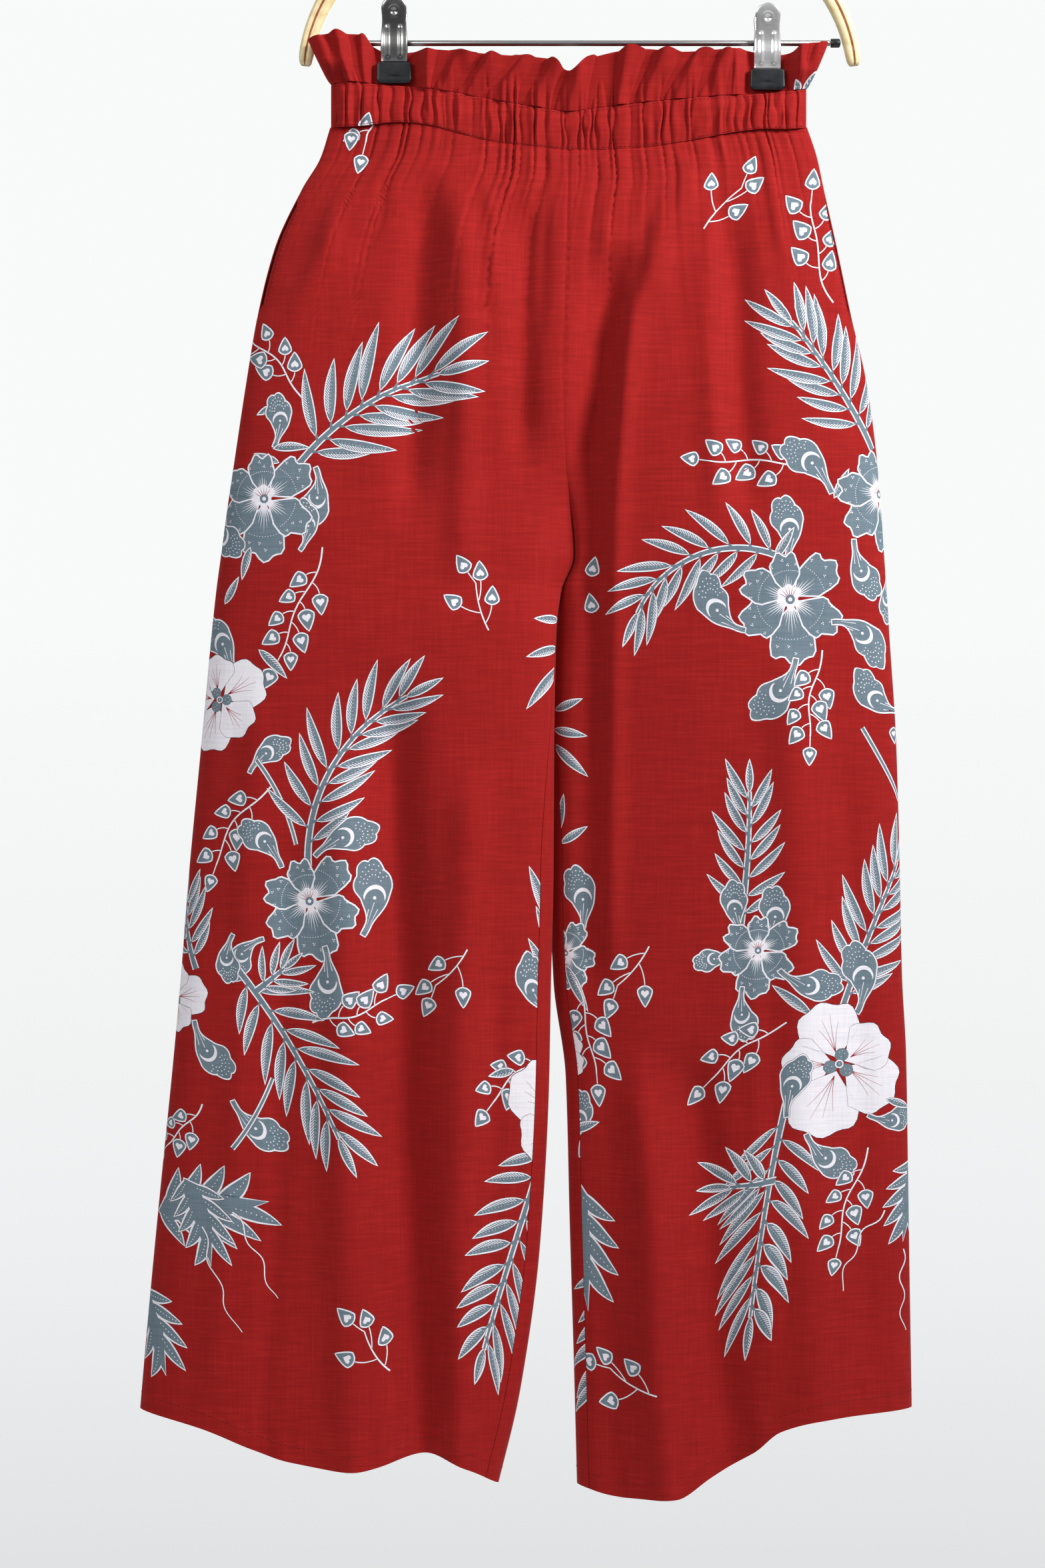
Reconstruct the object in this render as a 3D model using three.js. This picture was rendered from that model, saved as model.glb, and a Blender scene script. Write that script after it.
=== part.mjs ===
// Wide-legged lounge pants with a gathered paper-bag waist, held by two clips on a
// wooden clip hanger. Millimetres, +Z up, the front faces -Y and +X is the viewer's
// right. The origin is the inside crown of the hook, and a "drop" is a distance below it.

import * as THREE from "three";

// Cloth walls
const CLOTH = 1.5;
const HEM_CLOTH = 2.3;
const HEM_TURN = 14;
const SEAM_GAP = 0.3;
const HALF_GAP = SEAM_GAP / 2;

// Waist
const WAIST_LEFT = -178.3;
const WAIST_RIGHT = 162.5;
const CENTRE_SEAM = -7.6;
const WAIST_HALF_DEPTH = 9.5;
const GATHERS = 43;
const GATHER_RISE = 2;
const GATHER_DRIFT = [{ size: 0.9, turns: 4 }, { size: 0.45, turns: 11 }];

// Legs
const TOP_DROP = 262;
const CROTCH_TOP = 440;
const CROTCH_DROP = 568;
const HEM_DROP = 1205;
const SIDE_ROUND = 0.85;
const LEG_STAGGER = 8;
const BACK_HEM_LIFT = 4;
const INSEAM_START = 0.02;
const INSEAM_TURN = 0.36;

// Hanger
const CLIP_X = [-132.9, 134.3];
const BAR_DROP = 200;
const BAR_RADIUS = 2.1;
const BAR_HALF = 179.5;
const CAP_RADIUS = 3.2;
const CAP_END = 186.9;
const ARCH = { halfSpan: 197, rise: 145, footDrop: 225, tip: 0.062 };
const ARM = { tipWidth: 10.4, midWidth: 16, depth: 11, groove: 1.2 };
const HOOK_INSIDE = 20;
const WIRE = 2;
const HOOK_NECK = [{ x: 0, z: -55 }, { x: 5, z: -47 }, { x: 14, z: -38.5 }];
const HOOK_TURN = { from: -0.35, to: Math.PI + 0.5, points: 11 };
const COLLAR = { radius: 5.5, top: 62, bottom: 71.6 };
const SLEEVE = { inner: 2.4, outer: 5.5, half: 6 };
const PAD = { width: 25, height: 15, depth: 4.6, face: 2.95, corner: 1.4 };
const PAD_BOTTOM = [229.9, 234.6];
const JAW = {
  half: 9.6, thickness: 1.2, tall: 46, tip: 1.5, rib: 0.9, ribX: 4.5, ribWidth: 1.7, ribFrom: 2, ribTo: 24,
};
// A jaw stands out from the cloth by its foot, its shin and its lever, and has a narrow neck.
const JAW_LEAN = { foot: 5.6, shin: 1.5, shinTop: 14, lever: 5.5, leverFrom: 17, leverRun: 30 };
const JAW_NECK = { height: 30, depth: 1.1, spread: 9 };

// The trousers' outline: the sides, the inner edge of each leg, and half the depth.
const OUTLINE = [
  { drop: 262, outLeft: -178.9, inLeft: -7.6, inRight: -7.6, outRight: 163.0, half: 9.5 },
  { drop: 284, outLeft: -186.0, inLeft: -8.2, inRight: -8.2, outRight: 170.0, half: 13 },
  { drop: 305, outLeft: -198.6, inLeft: -8.8, inRight: -8.8, outRight: 174.5, half: 17 },
  { drop: 347, outLeft: -218.4, inLeft: -9.8, inRight: -9.8, outRight: 184.0, half: 22 },
  { drop: 398, outLeft: -231.4, inLeft: -11, inRight: -11, outRight: 195.0, half: 26 },
  { drop: 443, outLeft: -239.0, inLeft: -12, inRight: -12, outRight: 205.5, half: 28 },
  { drop: 500, outLeft: -247.6, inLeft: -10, inRight: -10, outRight: 213.2, half: 29 },
  { drop: 568, outLeft: -257.5, inLeft: -3.6, inRight: -3.6, outRight: 218.5, half: 29 },
  { drop: 592, outLeft: -260.5, inLeft: -14, inRight: -9, outRight: 220.0, half: 29 },
  { drop: 625, outLeft: -264.0, inLeft: -16.8, inRight: -17.8, outRight: 222.0, half: 29 },
  { drop: 700, outLeft: -271.0, inLeft: -18.2, inRight: -21, outRight: 226.8, half: 28 },
  { drop: 800, outLeft: -280.5, inLeft: -18.8, inRight: -21.4, outRight: 229.6, half: 28 },
  { drop: 870, outLeft: -285.8, inLeft: -20.6, inRight: -18.8, outRight: 231.0, half: 28 },
  { drop: 934, outLeft: -291.2, inLeft: -22, inRight: -10, outRight: 234.0, half: 28 },
  { drop: 1030, outLeft: -300.0, inLeft: -28, inRight: -7.2, outRight: 235.4, half: 29 },
  { drop: 1130, outLeft: -308.8, inLeft: -42, inRight: -4, outRight: 236.8, half: 30 },
  { drop: 1205, outLeft: -315.0, inLeft: -58, inRight: -2, outRight: 238.0, half: 31 },
];

// Drops of the waist's three lines across the front, which sag between the clips.
const WAIST_LINES = [
  { x: -178, frillTop: 200, casingTop: 230.0, casingBottom: 260.3 },
  { x: -165, frillTop: 196, casingTop: 229.0, casingBottom: 260.3 },
  { x: -153, frillTop: 196.6, casingTop: 229.6, casingBottom: 259.8 },
  { x: -147, frillTop: 203, casingTop: 230.2, casingBottom: 259.0 },
  { x: -133, frillTop: 209, casingTop: 231.2, casingBottom: 257.5 },
  { x: -118, frillTop: 207, casingTop: 232.4, casingBottom: 258.0 },
  { x: -60, frillTop: 211, casingTop: 242.5, casingBottom: 271.5 },
  { x: -22, frillTop: 214, casingTop: 248.8, casingBottom: 276.0 },
  { x: -8, frillTop: 222.5, casingTop: 250.8, casingBottom: 277.4 },
  { x: 6, frillTop: 214, casingTop: 249.0, casingBottom: 277.4 },
  { x: 44, frillTop: 207, casingTop: 244.2, casingBottom: 275.4 },
  { x: 75, frillTop: 209, casingTop: 241.2, casingBottom: 271.0 },
  { x: 118, frillTop: 206, casingTop: 237.8, casingBottom: 263.5 },
  { x: 134, frillTop: 209.5, casingTop: 236.6, casingBottom: 262.0 },
  { x: 147, frillTop: 208, casingTop: 235.0, casingBottom: 262.0 },
  { x: 153, frillTop: 203.3, casingTop: 234.4, casingBottom: 261.6 },
  { x: 162, frillTop: 201.5, casingTop: 233.5, casingBottom: 260.3 },
];

// Drop of each leg's hem across its width.
const HEM_LEFT = [
  { x: -315, drop: 1177.5 },
  { x: -270, drop: 1188.5 },
  { x: -205, drop: 1212 },
  { x: -162, drop: 1217.7 },
  { x: -110, drop: 1207.6 },
  { x: -82, drop: 1217.7 },
  { x: -58, drop: 1231 },
];
const HEM_RIGHT = [
  { x: -2, drop: 1231.5 },
  { x: 32, drop: 1238.2 },
  { x: 68, drop: 1237.2 },
  { x: 92, drop: 1224 },
  { x: 123, drop: 1206 },
  { x: 142, drop: 1190 },
  { x: 170, drop: 1182 },
  { x: 238, drop: 1176.5 },
];

// Large folds: a line from top to bottom, its half width and how far it stands out.
// A negative rise is a valley.
const FRONT_FOLDS = [
  { top: 330, xTop: 26, mid: 540, xMid: 4, low: 900, xLow: 0, width: 15, rise: -12 },
  { top: 350, xTop: 36, mid: 600, xMid: 22, low: 880, xLow: 20, width: 9, rise: 6 },
  { top: 280, xTop: 84, mid: 350, xMid: 52, low: 430, xLow: 26, width: 14, rise: 5 },
  { top: 300, xTop: 108, mid: 400, xMid: 112, low: 560, xLow: 120, width: 13, rise: -6 },
  { top: 280, xTop: -143, mid: 345, xMid: -180, low: 420, xLow: -214, width: 13, rise: 5 },
  { top: 285, xTop: -108, mid: 420, xMid: -116, low: 560, xLow: -122, width: 13, rise: -7 },
  { top: 290, xTop: -84, mid: 430, xMid: -82, low: 600, xLow: -84, width: 12, rise: 5 },
  { top: 285, xTop: -38, mid: 400, xMid: -40, low: 520, xLow: -42, width: 11, rise: -6 },
  { top: 640, xTop: -134, mid: 920, xMid: -126, low: 1230, xLow: -111, width: 17, rise: -11 },
  { top: 700, xTop: -170, mid: 950, xMid: -166, low: 1240, xLow: -160, width: 18, rise: 7 },
  { top: 700, xTop: -78, mid: 950, xMid: -84, low: 1240, xLow: -84, width: 15, rise: 6 },
  { top: 900, xTop: 40, mid: 1060, xMid: 52, low: 1250, xLow: 62, width: 15, rise: 8 },
  { top: 900, xTop: 78, mid: 1060, xMid: 92, low: 1250, xLow: 112, width: 18, rise: -9 },
  { top: 620, xTop: 150, mid: 900, xMid: 156, low: 1240, xLow: 168, width: 20, rise: 6 },
];
const BACK_FOLDS = [
  { top: 320, xTop: -30, mid: 540, xMid: -14, low: 900, xLow: -16, width: 15, rise: -11 },
  { top: 290, xTop: 70, mid: 420, xMid: 88, low: 560, xLow: 96, width: 14, rise: -7 },
  { top: 290, xTop: 30, mid: 400, xMid: 36, low: 540, xLow: 44, width: 13, rise: 5 },
  { top: 285, xTop: -70, mid: 400, xMid: -92, low: 560, xLow: -104, width: 14, rise: -7 },
  { top: 285, xTop: -120, mid: 360, xMid: -160, low: 450, xLow: -190, width: 14, rise: 5 },
  { top: 640, xTop: -190, mid: 920, xMid: -196, low: 1230, xLow: -206, width: 18, rise: -9 },
  { top: 680, xTop: -140, mid: 940, xMid: -138, low: 1240, xLow: -134, width: 18, rise: 8 },
  { top: 660, xTop: 92, mid: 940, xMid: 100, low: 1240, xLow: 108, width: 18, rise: -10 },
  { top: 700, xTop: 52, mid: 960, xMid: 54, low: 1240, xLow: 52, width: 16, rise: 7 },
  { top: 640, xTop: 160, mid: 900, xMid: 166, low: 1240, xLow: 176, width: 18, rise: 7 },
];
const FOLD_FADE = 60;

// Slanted pocket mouths at the side seams: their drops and how far the front stops short.
const POCKET = {
  left: { top: 303, bottom: 402, notch: 0.14 },
  right: { top: 303, bottom: 412, notch: 0.09 },
};
const POCKET_EASE = 22;
const FACING = { from: 0.78, drops: [300, 315, 345, 385, 414], columns: 6, inset: CLOTH + 1.2 };

// The ruffle above the casing: it flares at the sides, leans out between the clips, lies
// flat inside them, and its ends stand in front of the bar and the wooden arms.
const FRILL = {
  columns: 57, rows: 4, tall: 31, waves: 11, flareLeft: 16.5, flareRight: 15, lean: 5.5, wave: 4.2,
  clipFace: 2.6, clipFlat: 13.4, clipFade: 11, endForwardLeft: 12, endForwardRight: 7,
  backLower: 3.5, backEnds: 205.5,
};

// Rows of the leg walls, and how many columns each has.
const GATHER_ROWS = [262, 274, 292];
const PLAIN_ROWS = [315, 345, 385, 430, 480, 520, 550, 568, 592, 630, 700, 780, 860, 950, 1040, 1120];
const PLAIN_COLUMNS = 17;

// Steps for slopes across a wall, and how far a waist wall's ends are from its side seam.
const NUDGE = 1e-6;
const WAIST_END = 3e-5;

const smooth = (t) => {
  const k = Math.min(Math.max(t, 0), 1);
  return k * k * (3 - 2 * k);
};
const mix = (a, b, t) => a + (b - a) * t;
const bump = (t) => Math.exp(-t * t);
const steps = (count, from = 0, to = 1) =>
  Array.from({ length: count }, (_, i) => mix(from, to, i / (count - 1)));

// A smooth curve without overshoot through one column of a table.
function curve(table, key, value) {
  const at = table.map((row) => row[key]);
  const to = table.map((row) => row[value]);
  const rate = to.slice(1).map((v, i) => (v - to[i]) / (at[i + 1] - at[i]));
  const slope = to.map((_, i) => {
    if (i === 0 || i === rate.length) return rate[Math.min(i, rate.length - 1)];
    const product = rate[i - 1] * rate[i];
    return product > 0 ? (2 * product) / (rate[i - 1] + rate[i]) : 0;
  });
  return (x) => {
    if (x <= at[0]) return to[0] + slope[0] * (x - at[0]);
    const last = at.length - 1;
    if (x >= at[last]) return to[last] + slope[last] * (x - at[last]);
    const i = at.findIndex((v) => v > x) - 1;
    const span = at[i + 1] - at[i];
    const t = (x - at[i]) / span;
    const rise = smooth(t);
    const bend = t * (1 - t) * span;
    return mix(to[i], to[i + 1], rise) + bend * ((1 - t) * slope[i] - t * slope[i + 1]);
  };
}

const outline = {};
for (const name of ["outLeft", "inLeft", "inRight", "outRight", "half"]) {
  outline[name] = curve(OUTLINE, "drop", name);
}
const frillTop = curve(WAIST_LINES, "x", "frillTop");
const casingTop = curve(WAIST_LINES, "x", "casingTop");
const casingBottom = curve(WAIST_LINES, "x", "casingBottom");
const hem = { left: curve(HEM_LEFT, "x", "drop"), right: curve(HEM_RIGHT, "x", "drop") };

// Triangles between two rows of vertices whose places across run from 0 to 1.
function zip(faces, rowA, placesA, rowB, placesB) {
  let a = 0;
  let b = 0;
  while (a < rowA.length - 1 || b < rowB.length - 1) {
    const stepA = b === rowB.length - 1 || (a < rowA.length - 1 && placesA[a + 1] <= placesB[b + 1]);
    faces.push(stepA ? [rowA[a], rowB[b], rowA[a + 1]] : [rowA[a], rowB[b], rowB[b + 1]]);
    if (stepA) a += 1;
    else b += 1;
  }
}

function closedGeometry(points, faces) {
  const volume = faces.reduce((sum, [a, b, c]) => {
    const normal = new THREE.Vector3().crossVectors(points[b], points[c]);
    return sum + points[a].dot(normal);
  }, 0);
  const order = volume < 0 ? faces.map(([a, b, c]) => [a, c, b]) : faces;
  const geometry = new THREE.BufferGeometry().setFromPoints(points);
  geometry.setIndex(order.flat());
  geometry.computeVertexNormals();
  return geometry;
}

// A wall with an outer and an inner face. base(s, v) is its smooth outer face, relief(s, v)
// the move towards the viewer or the wall, and thick(v) the wall, measured along the
// smooth face's own normal, so that gathers never cross.
function wall({ rows, base, relief, thick, away, innerRelief = 1, innerPlaces }) {
  const points = [];
  const put = (point) => points.push(point) - 1;
  const nudge = (rows.at(-1).v - rows[0].v) / 2000;
  const normalAt = (s, v) => {
    const across = base(s + NUDGE, v).sub(base(s - NUDGE, v));
    const along = base(s, v + nudge).sub(base(s, v - nudge));
    const normal = across.cross(along).normalize();
    return normal.dot(away(s, v)) < 0 ? normal.negate() : normal;
  };
  const outer = rows.map(({ v, places }) => places.map((s) => put(base(s, v).add(relief(s, v)))));
  const innerRows = rows.map(({ v, places }) => ({ v, places: innerPlaces ?? places }));
  const inner = innerRows.map(({ v, places }) => places.map((s) => {
    const point = base(s, v).addScaledVector(relief(s, v), innerRelief);
    return put(point.addScaledVector(normalAt(s, v), -thick(v)));
  }));
  const faces = [];
  const back = [];
  for (let i = 0; i < rows.length - 1; i += 1) {
    zip(faces, outer[i], rows[i].places, outer[i + 1], rows[i + 1].places);
    zip(back, inner[i], innerRows[i].places, inner[i + 1], innerRows[i + 1].places);
    faces.push([outer[i][0], inner[i][0], outer[i + 1][0]]);
    faces.push([inner[i][0], inner[i + 1][0], outer[i + 1][0]]);
    const [o, p] = [outer[i].at(-1), outer[i + 1].at(-1)];
    const [q, r] = [inner[i].at(-1), inner[i + 1].at(-1)];
    faces.push([o, p, q], [q, p, r]);
  }
  back.forEach(([a, b, c]) => faces.push([a, c, b]));
  const ends = [];
  zip(ends, inner[0], innerRows[0].places, outer[0], rows[0].places);
  faces.push(...ends);
  const last = rows.length - 1;
  zip(faces, outer[last], rows[last].places, inner[last], innerRows[last].places);
  return closedGeometry(points, faces);
}

// A solid through rings of equal counts, closed at both ends by a fan.
function loft(rings) {
  const points = rings.flat();
  const count = rings[0].length;
  const faces = [];
  for (let i = 0; i < rings.length - 1; i += 1) {
    for (let j = 0; j < count; j += 1) {
      const [a, b] = [i * count + j, i * count + (j + 1) % count];
      faces.push([a, b, a + count], [b, b + count, a + count]);
    }
  }
  for (const [start, flip] of [[0, true], [(rings.length - 1) * count, false]]) {
    const middle = new THREE.Vector3();
    for (let j = 0; j < count; j += 1) middle.addScaledVector(points[start + j], 1 / count);
    const centre = points.push(middle) - 1;
    for (let j = 0; j < count; j += 1) {
      const [a, b] = [start + j, start + (j + 1) % count];
      faces.push(flip ? [centre, b, a] : [centre, a, b]);
    }
  }
  return closedGeometry(points, faces);
}

// Uneven spacing of the gathers: whole numbers are the valleys between the puffs.
const gatherPhase = (t) => GATHER_DRIFT.reduce(
  (phase, { size, turns }) => phase + size * Math.sin(turns * Math.PI * t), GATHERS * t);
function gatherPlace(phase) {
  let low = 0;
  let high = 1;
  for (let i = 0; i < 30; i += 1) {
    const middle = (low + high) / 2;
    if (gatherPhase(middle) < phase) low = middle;
    else high = middle;
  }
  return (low + high) / 2;
}
const waistPlace = (x) => (x - WAIST_LEFT) / (WAIST_RIGHT - WAIST_LEFT);
const gatherAt = (x) => {
  const t = Math.min(Math.max(waistPlace(x), 0), 1);
  return Math.abs(Math.sin(Math.PI * gatherPhase(t))) ** 0.8;
};
const nearClip = (x, flat, fade) =>
  Math.max(...CLIP_X.map((clip) => 1 - smooth((Math.abs(x - clip) - flat) / fade)));

// One point of a leg's smooth outer face. s runs from the inner end, at the centre seam
// or the inseam, to the side seam.
function legPoint(side, face, s, drop) {
  const left = side === "left";
  const depth = face === "front" ? -1 : 1;
  const half = outline.half(drop);
  const outer = left ? outline.outLeft(drop) : outline.outRight(drop);
  const inner = left ? outline.inLeft(drop) : outline.inRight(drop);
  const flat = (angle) => Math.sign(Math.sin(angle)) * Math.abs(Math.sin(angle)) ** SIDE_ROUND;

  // Above the crotch one ring runs round both legs.
  const middle = (outline.outLeft(drop) + outline.outRight(drop)) / 2;
  const reach = (outline.outRight(drop) - outline.outLeft(drop)) / 2;
  const centreAngle = Math.acos((inner - middle) / reach);
  const sideTurn = (HALF_GAP / half) ** (1 / SIDE_ROUND);
  const openAngle = mix(centreAngle, left ? Math.PI - sideTurn : sideTurn, s);
  const openX = middle + reach * Math.cos(openAngle);
  const openY = depth * half * flat(openAngle);

  // Below it each leg closes at its inseam, which turns towards the front.
  const below = smooth((drop - CROTCH_DROP) / 230);
  const inseam = INSEAM_START + INSEAM_TURN * below;
  const seamTurn = 0.0035;
  const start = face === "front" ? inseam + seamTurn : inseam - seamTurn;
  const around = depth < 0
    ? mix(start, Math.PI - sideTurn, s)
    : mix(2 * Math.PI + start, Math.PI + sideTurn, s);
  const closedX = (outer + inner) / 2 + ((inner - outer) / 2) * Math.cos(around);
  const closedY = -half * flat(around);

  const closing = smooth((drop - CROTCH_TOP) / (CROTCH_DROP - CROTCH_TOP));
  const inward = ((1 + Math.cos(around)) / 2) ** 3;
  const apart = smooth((drop - CROTCH_DROP) / 55) * (1 - smooth((drop - 900) / 130));
  const x = mix(openX, closedX, closing) + (left ? -HALF_GAP : HALF_GAP);
  const y = mix(openY, closedY, closing) + (left ? -1 : 1) * LEG_STAGGER * inward * apart;

  const waistSag = casingBottom(x) + SEAM_GAP - TOP_DROP;
  const hemSag = hem[side](x) - HEM_DROP - BACK_HEM_LIFT * smooth(y / half);
  const sag = waistSag * (1 - smooth((drop - TOP_DROP) / 170)) + hemSag * smooth((drop - 780) / 425);
  return new THREE.Vector3(x, y, -(drop + sag));
}

function foldRise(folds, x, drop) {
  return folds.reduce((sum, fold) => {
    const upper = smooth((drop - fold.top) / (fold.mid - fold.top));
    const lower = smooth((drop - fold.mid) / (fold.low - fold.mid));
    const line = drop < fold.mid ? mix(fold.xTop, fold.xMid, upper) : mix(fold.xMid, fold.xLow, lower);
    const fade = smooth((drop - fold.top) / FOLD_FADE)
      * (fold.low > HEM_DROP ? 1 : 1 - smooth((drop - fold.low + FOLD_FADE) / FOLD_FADE));
    return sum + fold.rise * fade * bump((x - line) / fold.width);
  }, 0);
}

// Folds and the small pleats that run out of the casing, both fading at the leg's edges.
function legRelief(side, face, s, drop) {
  const point = legPoint(side, face, s, drop);
  const half = outline.half(drop);
  const body = smooth((Math.abs(point.y) / half - 0.25) / 0.6);
  const folds = foldRise(point.y < 0 ? FRONT_FOLDS : BACK_FOLDS, point.x, drop);
  const pleats = (gatherAt(point.x) - 0.5) * GATHER_RISE * Math.exp(-(drop - TOP_DROP) / 26);
  const rise = (folds + pleats) * body;
  return new THREE.Vector3(0, Math.sign(point.y) * rise, 0);
}

function pocketStop(side, drop) {
  const { top, bottom, notch } = POCKET[side];
  const below = smooth((drop - bottom + POCKET_EASE) / POCKET_EASE);
  return notch * smooth((drop - top) / POCKET_EASE) * (1 - below);
}

function gatherColumns(side) {
  const centre = gatherPhase(waistPlace(CENTRE_SEAM));
  const phases = [];
  for (let phase = 0.5; phase < GATHERS; phase += 0.5) {
    const inside = side === "left" ? phase < centre - 0.2 : phase > centre + 0.2;
    if (inside) phases.push(phase);
  }
  const middle = (outline.outLeft(TOP_DROP) + outline.outRight(TOP_DROP)) / 2;
  const reach = (outline.outRight(TOP_DROP) - outline.outLeft(TOP_DROP)) / 2;
  const centreAngle = Math.acos((CENTRE_SEAM - middle) / reach);
  const places = phases.map((phase) => {
    const x = mix(WAIST_LEFT, WAIST_RIGHT, gatherPlace(phase));
    const angle = Math.acos(Math.min(Math.max((x - middle) / reach, -1), 1));
    return side === "left" ? (angle - centreAngle) / (Math.PI - centreAngle) : 1 - angle / centreAngle;
  });
  return [0, ...places.filter((s) => s > 0.004 && s < 0.996).sort((a, b) => a - b), 1];
}

function legWall(side, face) {
  const fine = gatherColumns(side);
  const plain = steps(PLAIN_COLUMNS);
  const rows = GATHER_ROWS.map((v) => ({ v, places: fine }));
  rows.push(...PLAIN_ROWS.map((v) => ({ v, places: plain })));
  for (const v of [HEM_DROP - HEM_TURN, HEM_DROP - HEM_TURN + 2, HEM_DROP]) rows.push({ v, places: plain });
  const stop = (s, v) => (face === "front" ? s * (1 - pocketStop(side, v)) : s);
  return wall({
    rows,
    base: (s, v) => legPoint(side, face, stop(s, v), v),
    relief: (s, v) => legRelief(side, face, stop(s, v), v),
    thick: (v) => (v > HEM_DROP - HEM_TURN + 1 ? HEM_CLOTH : CLOTH),
    away: (s, v) => legAway(side, face, stop(s, v), v),
  });
}

// Outward from the middle of the leg.
function legAway(side, face, s, drop) {
  const left = side === "left";
  const outer = left ? outline.outLeft(drop) : outline.outRight(drop);
  const inner = left ? outline.inLeft(drop) : outline.inRight(drop);
  const point = legPoint(side, face, s, drop);
  const reach = Math.abs(outer - inner) / 2;
  const across = (point.x - (outer + inner) / 2) / reach;
  return new THREE.Vector3(across ** 5, 3 * point.y / outline.half(drop), 0);
}

// The strip of pocket facing that shows behind the front's slanted edge.
function pocketFacing(side) {
  const rows = FACING.drops.map((v) => ({ v, places: steps(FACING.columns, FACING.from, 1) }));
  const outside = side === "left" ? -1 : 1;
  const base = (s, v) => {
    const point = legPoint(side, "front", s, v);
    const ahead = legPoint(side, "front", s + NUDGE, v);
    const behind = legPoint(side, "front", s - NUDGE, v);
    const across = ahead.sub(behind).normalize();
    const inward = new THREE.Vector3(across.y, -across.x, 0).multiplyScalar(outside);
    if (inward.x * outside > 0) inward.negate();
    return point.addScaledVector(inward, FACING.inset);
  };
  return wall({
    rows,
    base,
    relief: (s, v) => legRelief(side, "front", s, v),
    thick: () => CLOTH,
    away: () => new THREE.Vector3(outside, -1.5, 0),
  });
}

// How far the waist is open at a place across it: 1 in the middle, 0 at the side seams.
const closure = (t, power) => {
  const open = 1 - Math.abs(2 * t - 1) ** power;
  return Math.sign(open) * Math.sqrt(Math.abs(open));
};

function casingWall(face) {
  const depth = face === "front" ? -1 : 1;
  const places = [];
  for (let k = 0; k < GATHERS; k += 1) places.push(...[0, 0.32, 0.68].map((part) => gatherPlace(k + part)));
  places[0] = WAIST_END;
  places.push(1 - WAIST_END);
  const base = (t, v) => {
    const x = mix(WAIST_LEFT, WAIST_RIGHT, t);
    const top = casingTop(x) + HALF_GAP;
    const bottom = casingBottom(x) - HALF_GAP;
    const pinch = 1 - 0.5 * nearClip(x, 13, 22) * (1 - v);
    return new THREE.Vector3(x, depth * WAIST_HALF_DEPTH * pinch * closure(t, 12), -mix(top, bottom, v));
  };
  const relief = (t, v) => {
    const x = mix(WAIST_LEFT, WAIST_RIGHT, t);
    const puff = 0.55 + 0.45 * Math.sin(Math.PI * v);
    const rise = GATHER_RISE * gatherAt(x) * puff * closure(t, 12);
    return new THREE.Vector3(0, depth * rise, 0);
  };
  return wall({
    rows: [0, 0.5, 1].map((v) => ({ v, places })),
    base,
    relief,
    thick: () => CLOTH,
    away: (t) => new THREE.Vector3((2 * t - 1) ** 21, depth, 0),
    innerRelief: 0,
    innerPlaces: steps(45, WAIST_END, 1 - WAIST_END),
  });
}


function frillWall(face) {
  const depth = face === "front" ? -1 : 1;
  const phase = face === "front" ? 0 : 2.4;
  const place = (t, v) => {
    const waist = mix(WAIST_LEFT, WAIST_RIGHT, t);
    const bottom = casingTop(waist) - HALF_GAP;
    const side = 2 * t - 1;
    const front = frillTop(waist);
    const back = mix(Math.max(front + FRILL.backLower, FRILL.backEnds), front, side ** 40);
    const height = (bottom - (face === "front" ? front : back)) * Math.max(v, 0);
    const flare = side < 0 ? FRILL.flareLeft : FRILL.flareRight;
    const out = Math.sign(side) * flare * (height / FRILL.tall) ** 0.8 * Math.abs(side) ** 12;
    return { x: waist + out, height, drop: bottom - height };
  };
  const base = (t, v) => {
    const { x, height, drop } = place(t, v);
    const clip = nearClip(x, FRILL.clipFlat, FRILL.clipFade);
    const open = (WAIST_HALF_DEPTH + FRILL.lean * v) * closure(t, 12);
    const reach = mix(open, FRILL.clipFace, clip);
    const end = t < 0.5 ? FRILL.endForwardLeft : FRILL.endForwardRight;
    const forward = end * smooth((Math.abs(2 * t - 1) - 0.88) / 0.1) * smooth(height / 14);
    return new THREE.Vector3(x, depth * reach - forward, -drop);
  };
  const relief = (t, v) => {
    const { x } = place(t, v);
    const swell = Math.sin(2 * Math.PI * FRILL.waves * t + phase + 1.3 * Math.sin(5 * t + phase));
    const size = FRILL.wave * (0.7 + 0.3 * Math.sin(17 * t + phase)) * Math.max(v, 0) ** 0.7;
    const ends = smooth((1 - Math.abs(2 * t - 1)) / 0.1);
    const loose = 1 - nearClip(x, FRILL.clipFlat, FRILL.clipFade);
    return new THREE.Vector3(0, depth * swell * size * ends * loose, 0);
  };
  const edges = CLIP_X.flatMap((clip) => [-1, 1].map((way) => waistPlace(clip + way * FRILL.clipFlat)));
  const spread = steps(FRILL.columns, WAIST_END, 1 - WAIST_END);
  const places = spread.filter((t) => edges.every((edge) => Math.abs(edge - t) > 0.006));
  places.push(...edges);
  places.sort((a, b) => a - b);
  return wall({
    rows: steps(FRILL.rows).map((v) => ({ v, places })),
    base,
    relief,
    thick: () => CLOTH,
    away: (t) => new THREE.Vector3((2 * t - 1) ** 31, depth, 0),
  });
}

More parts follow.
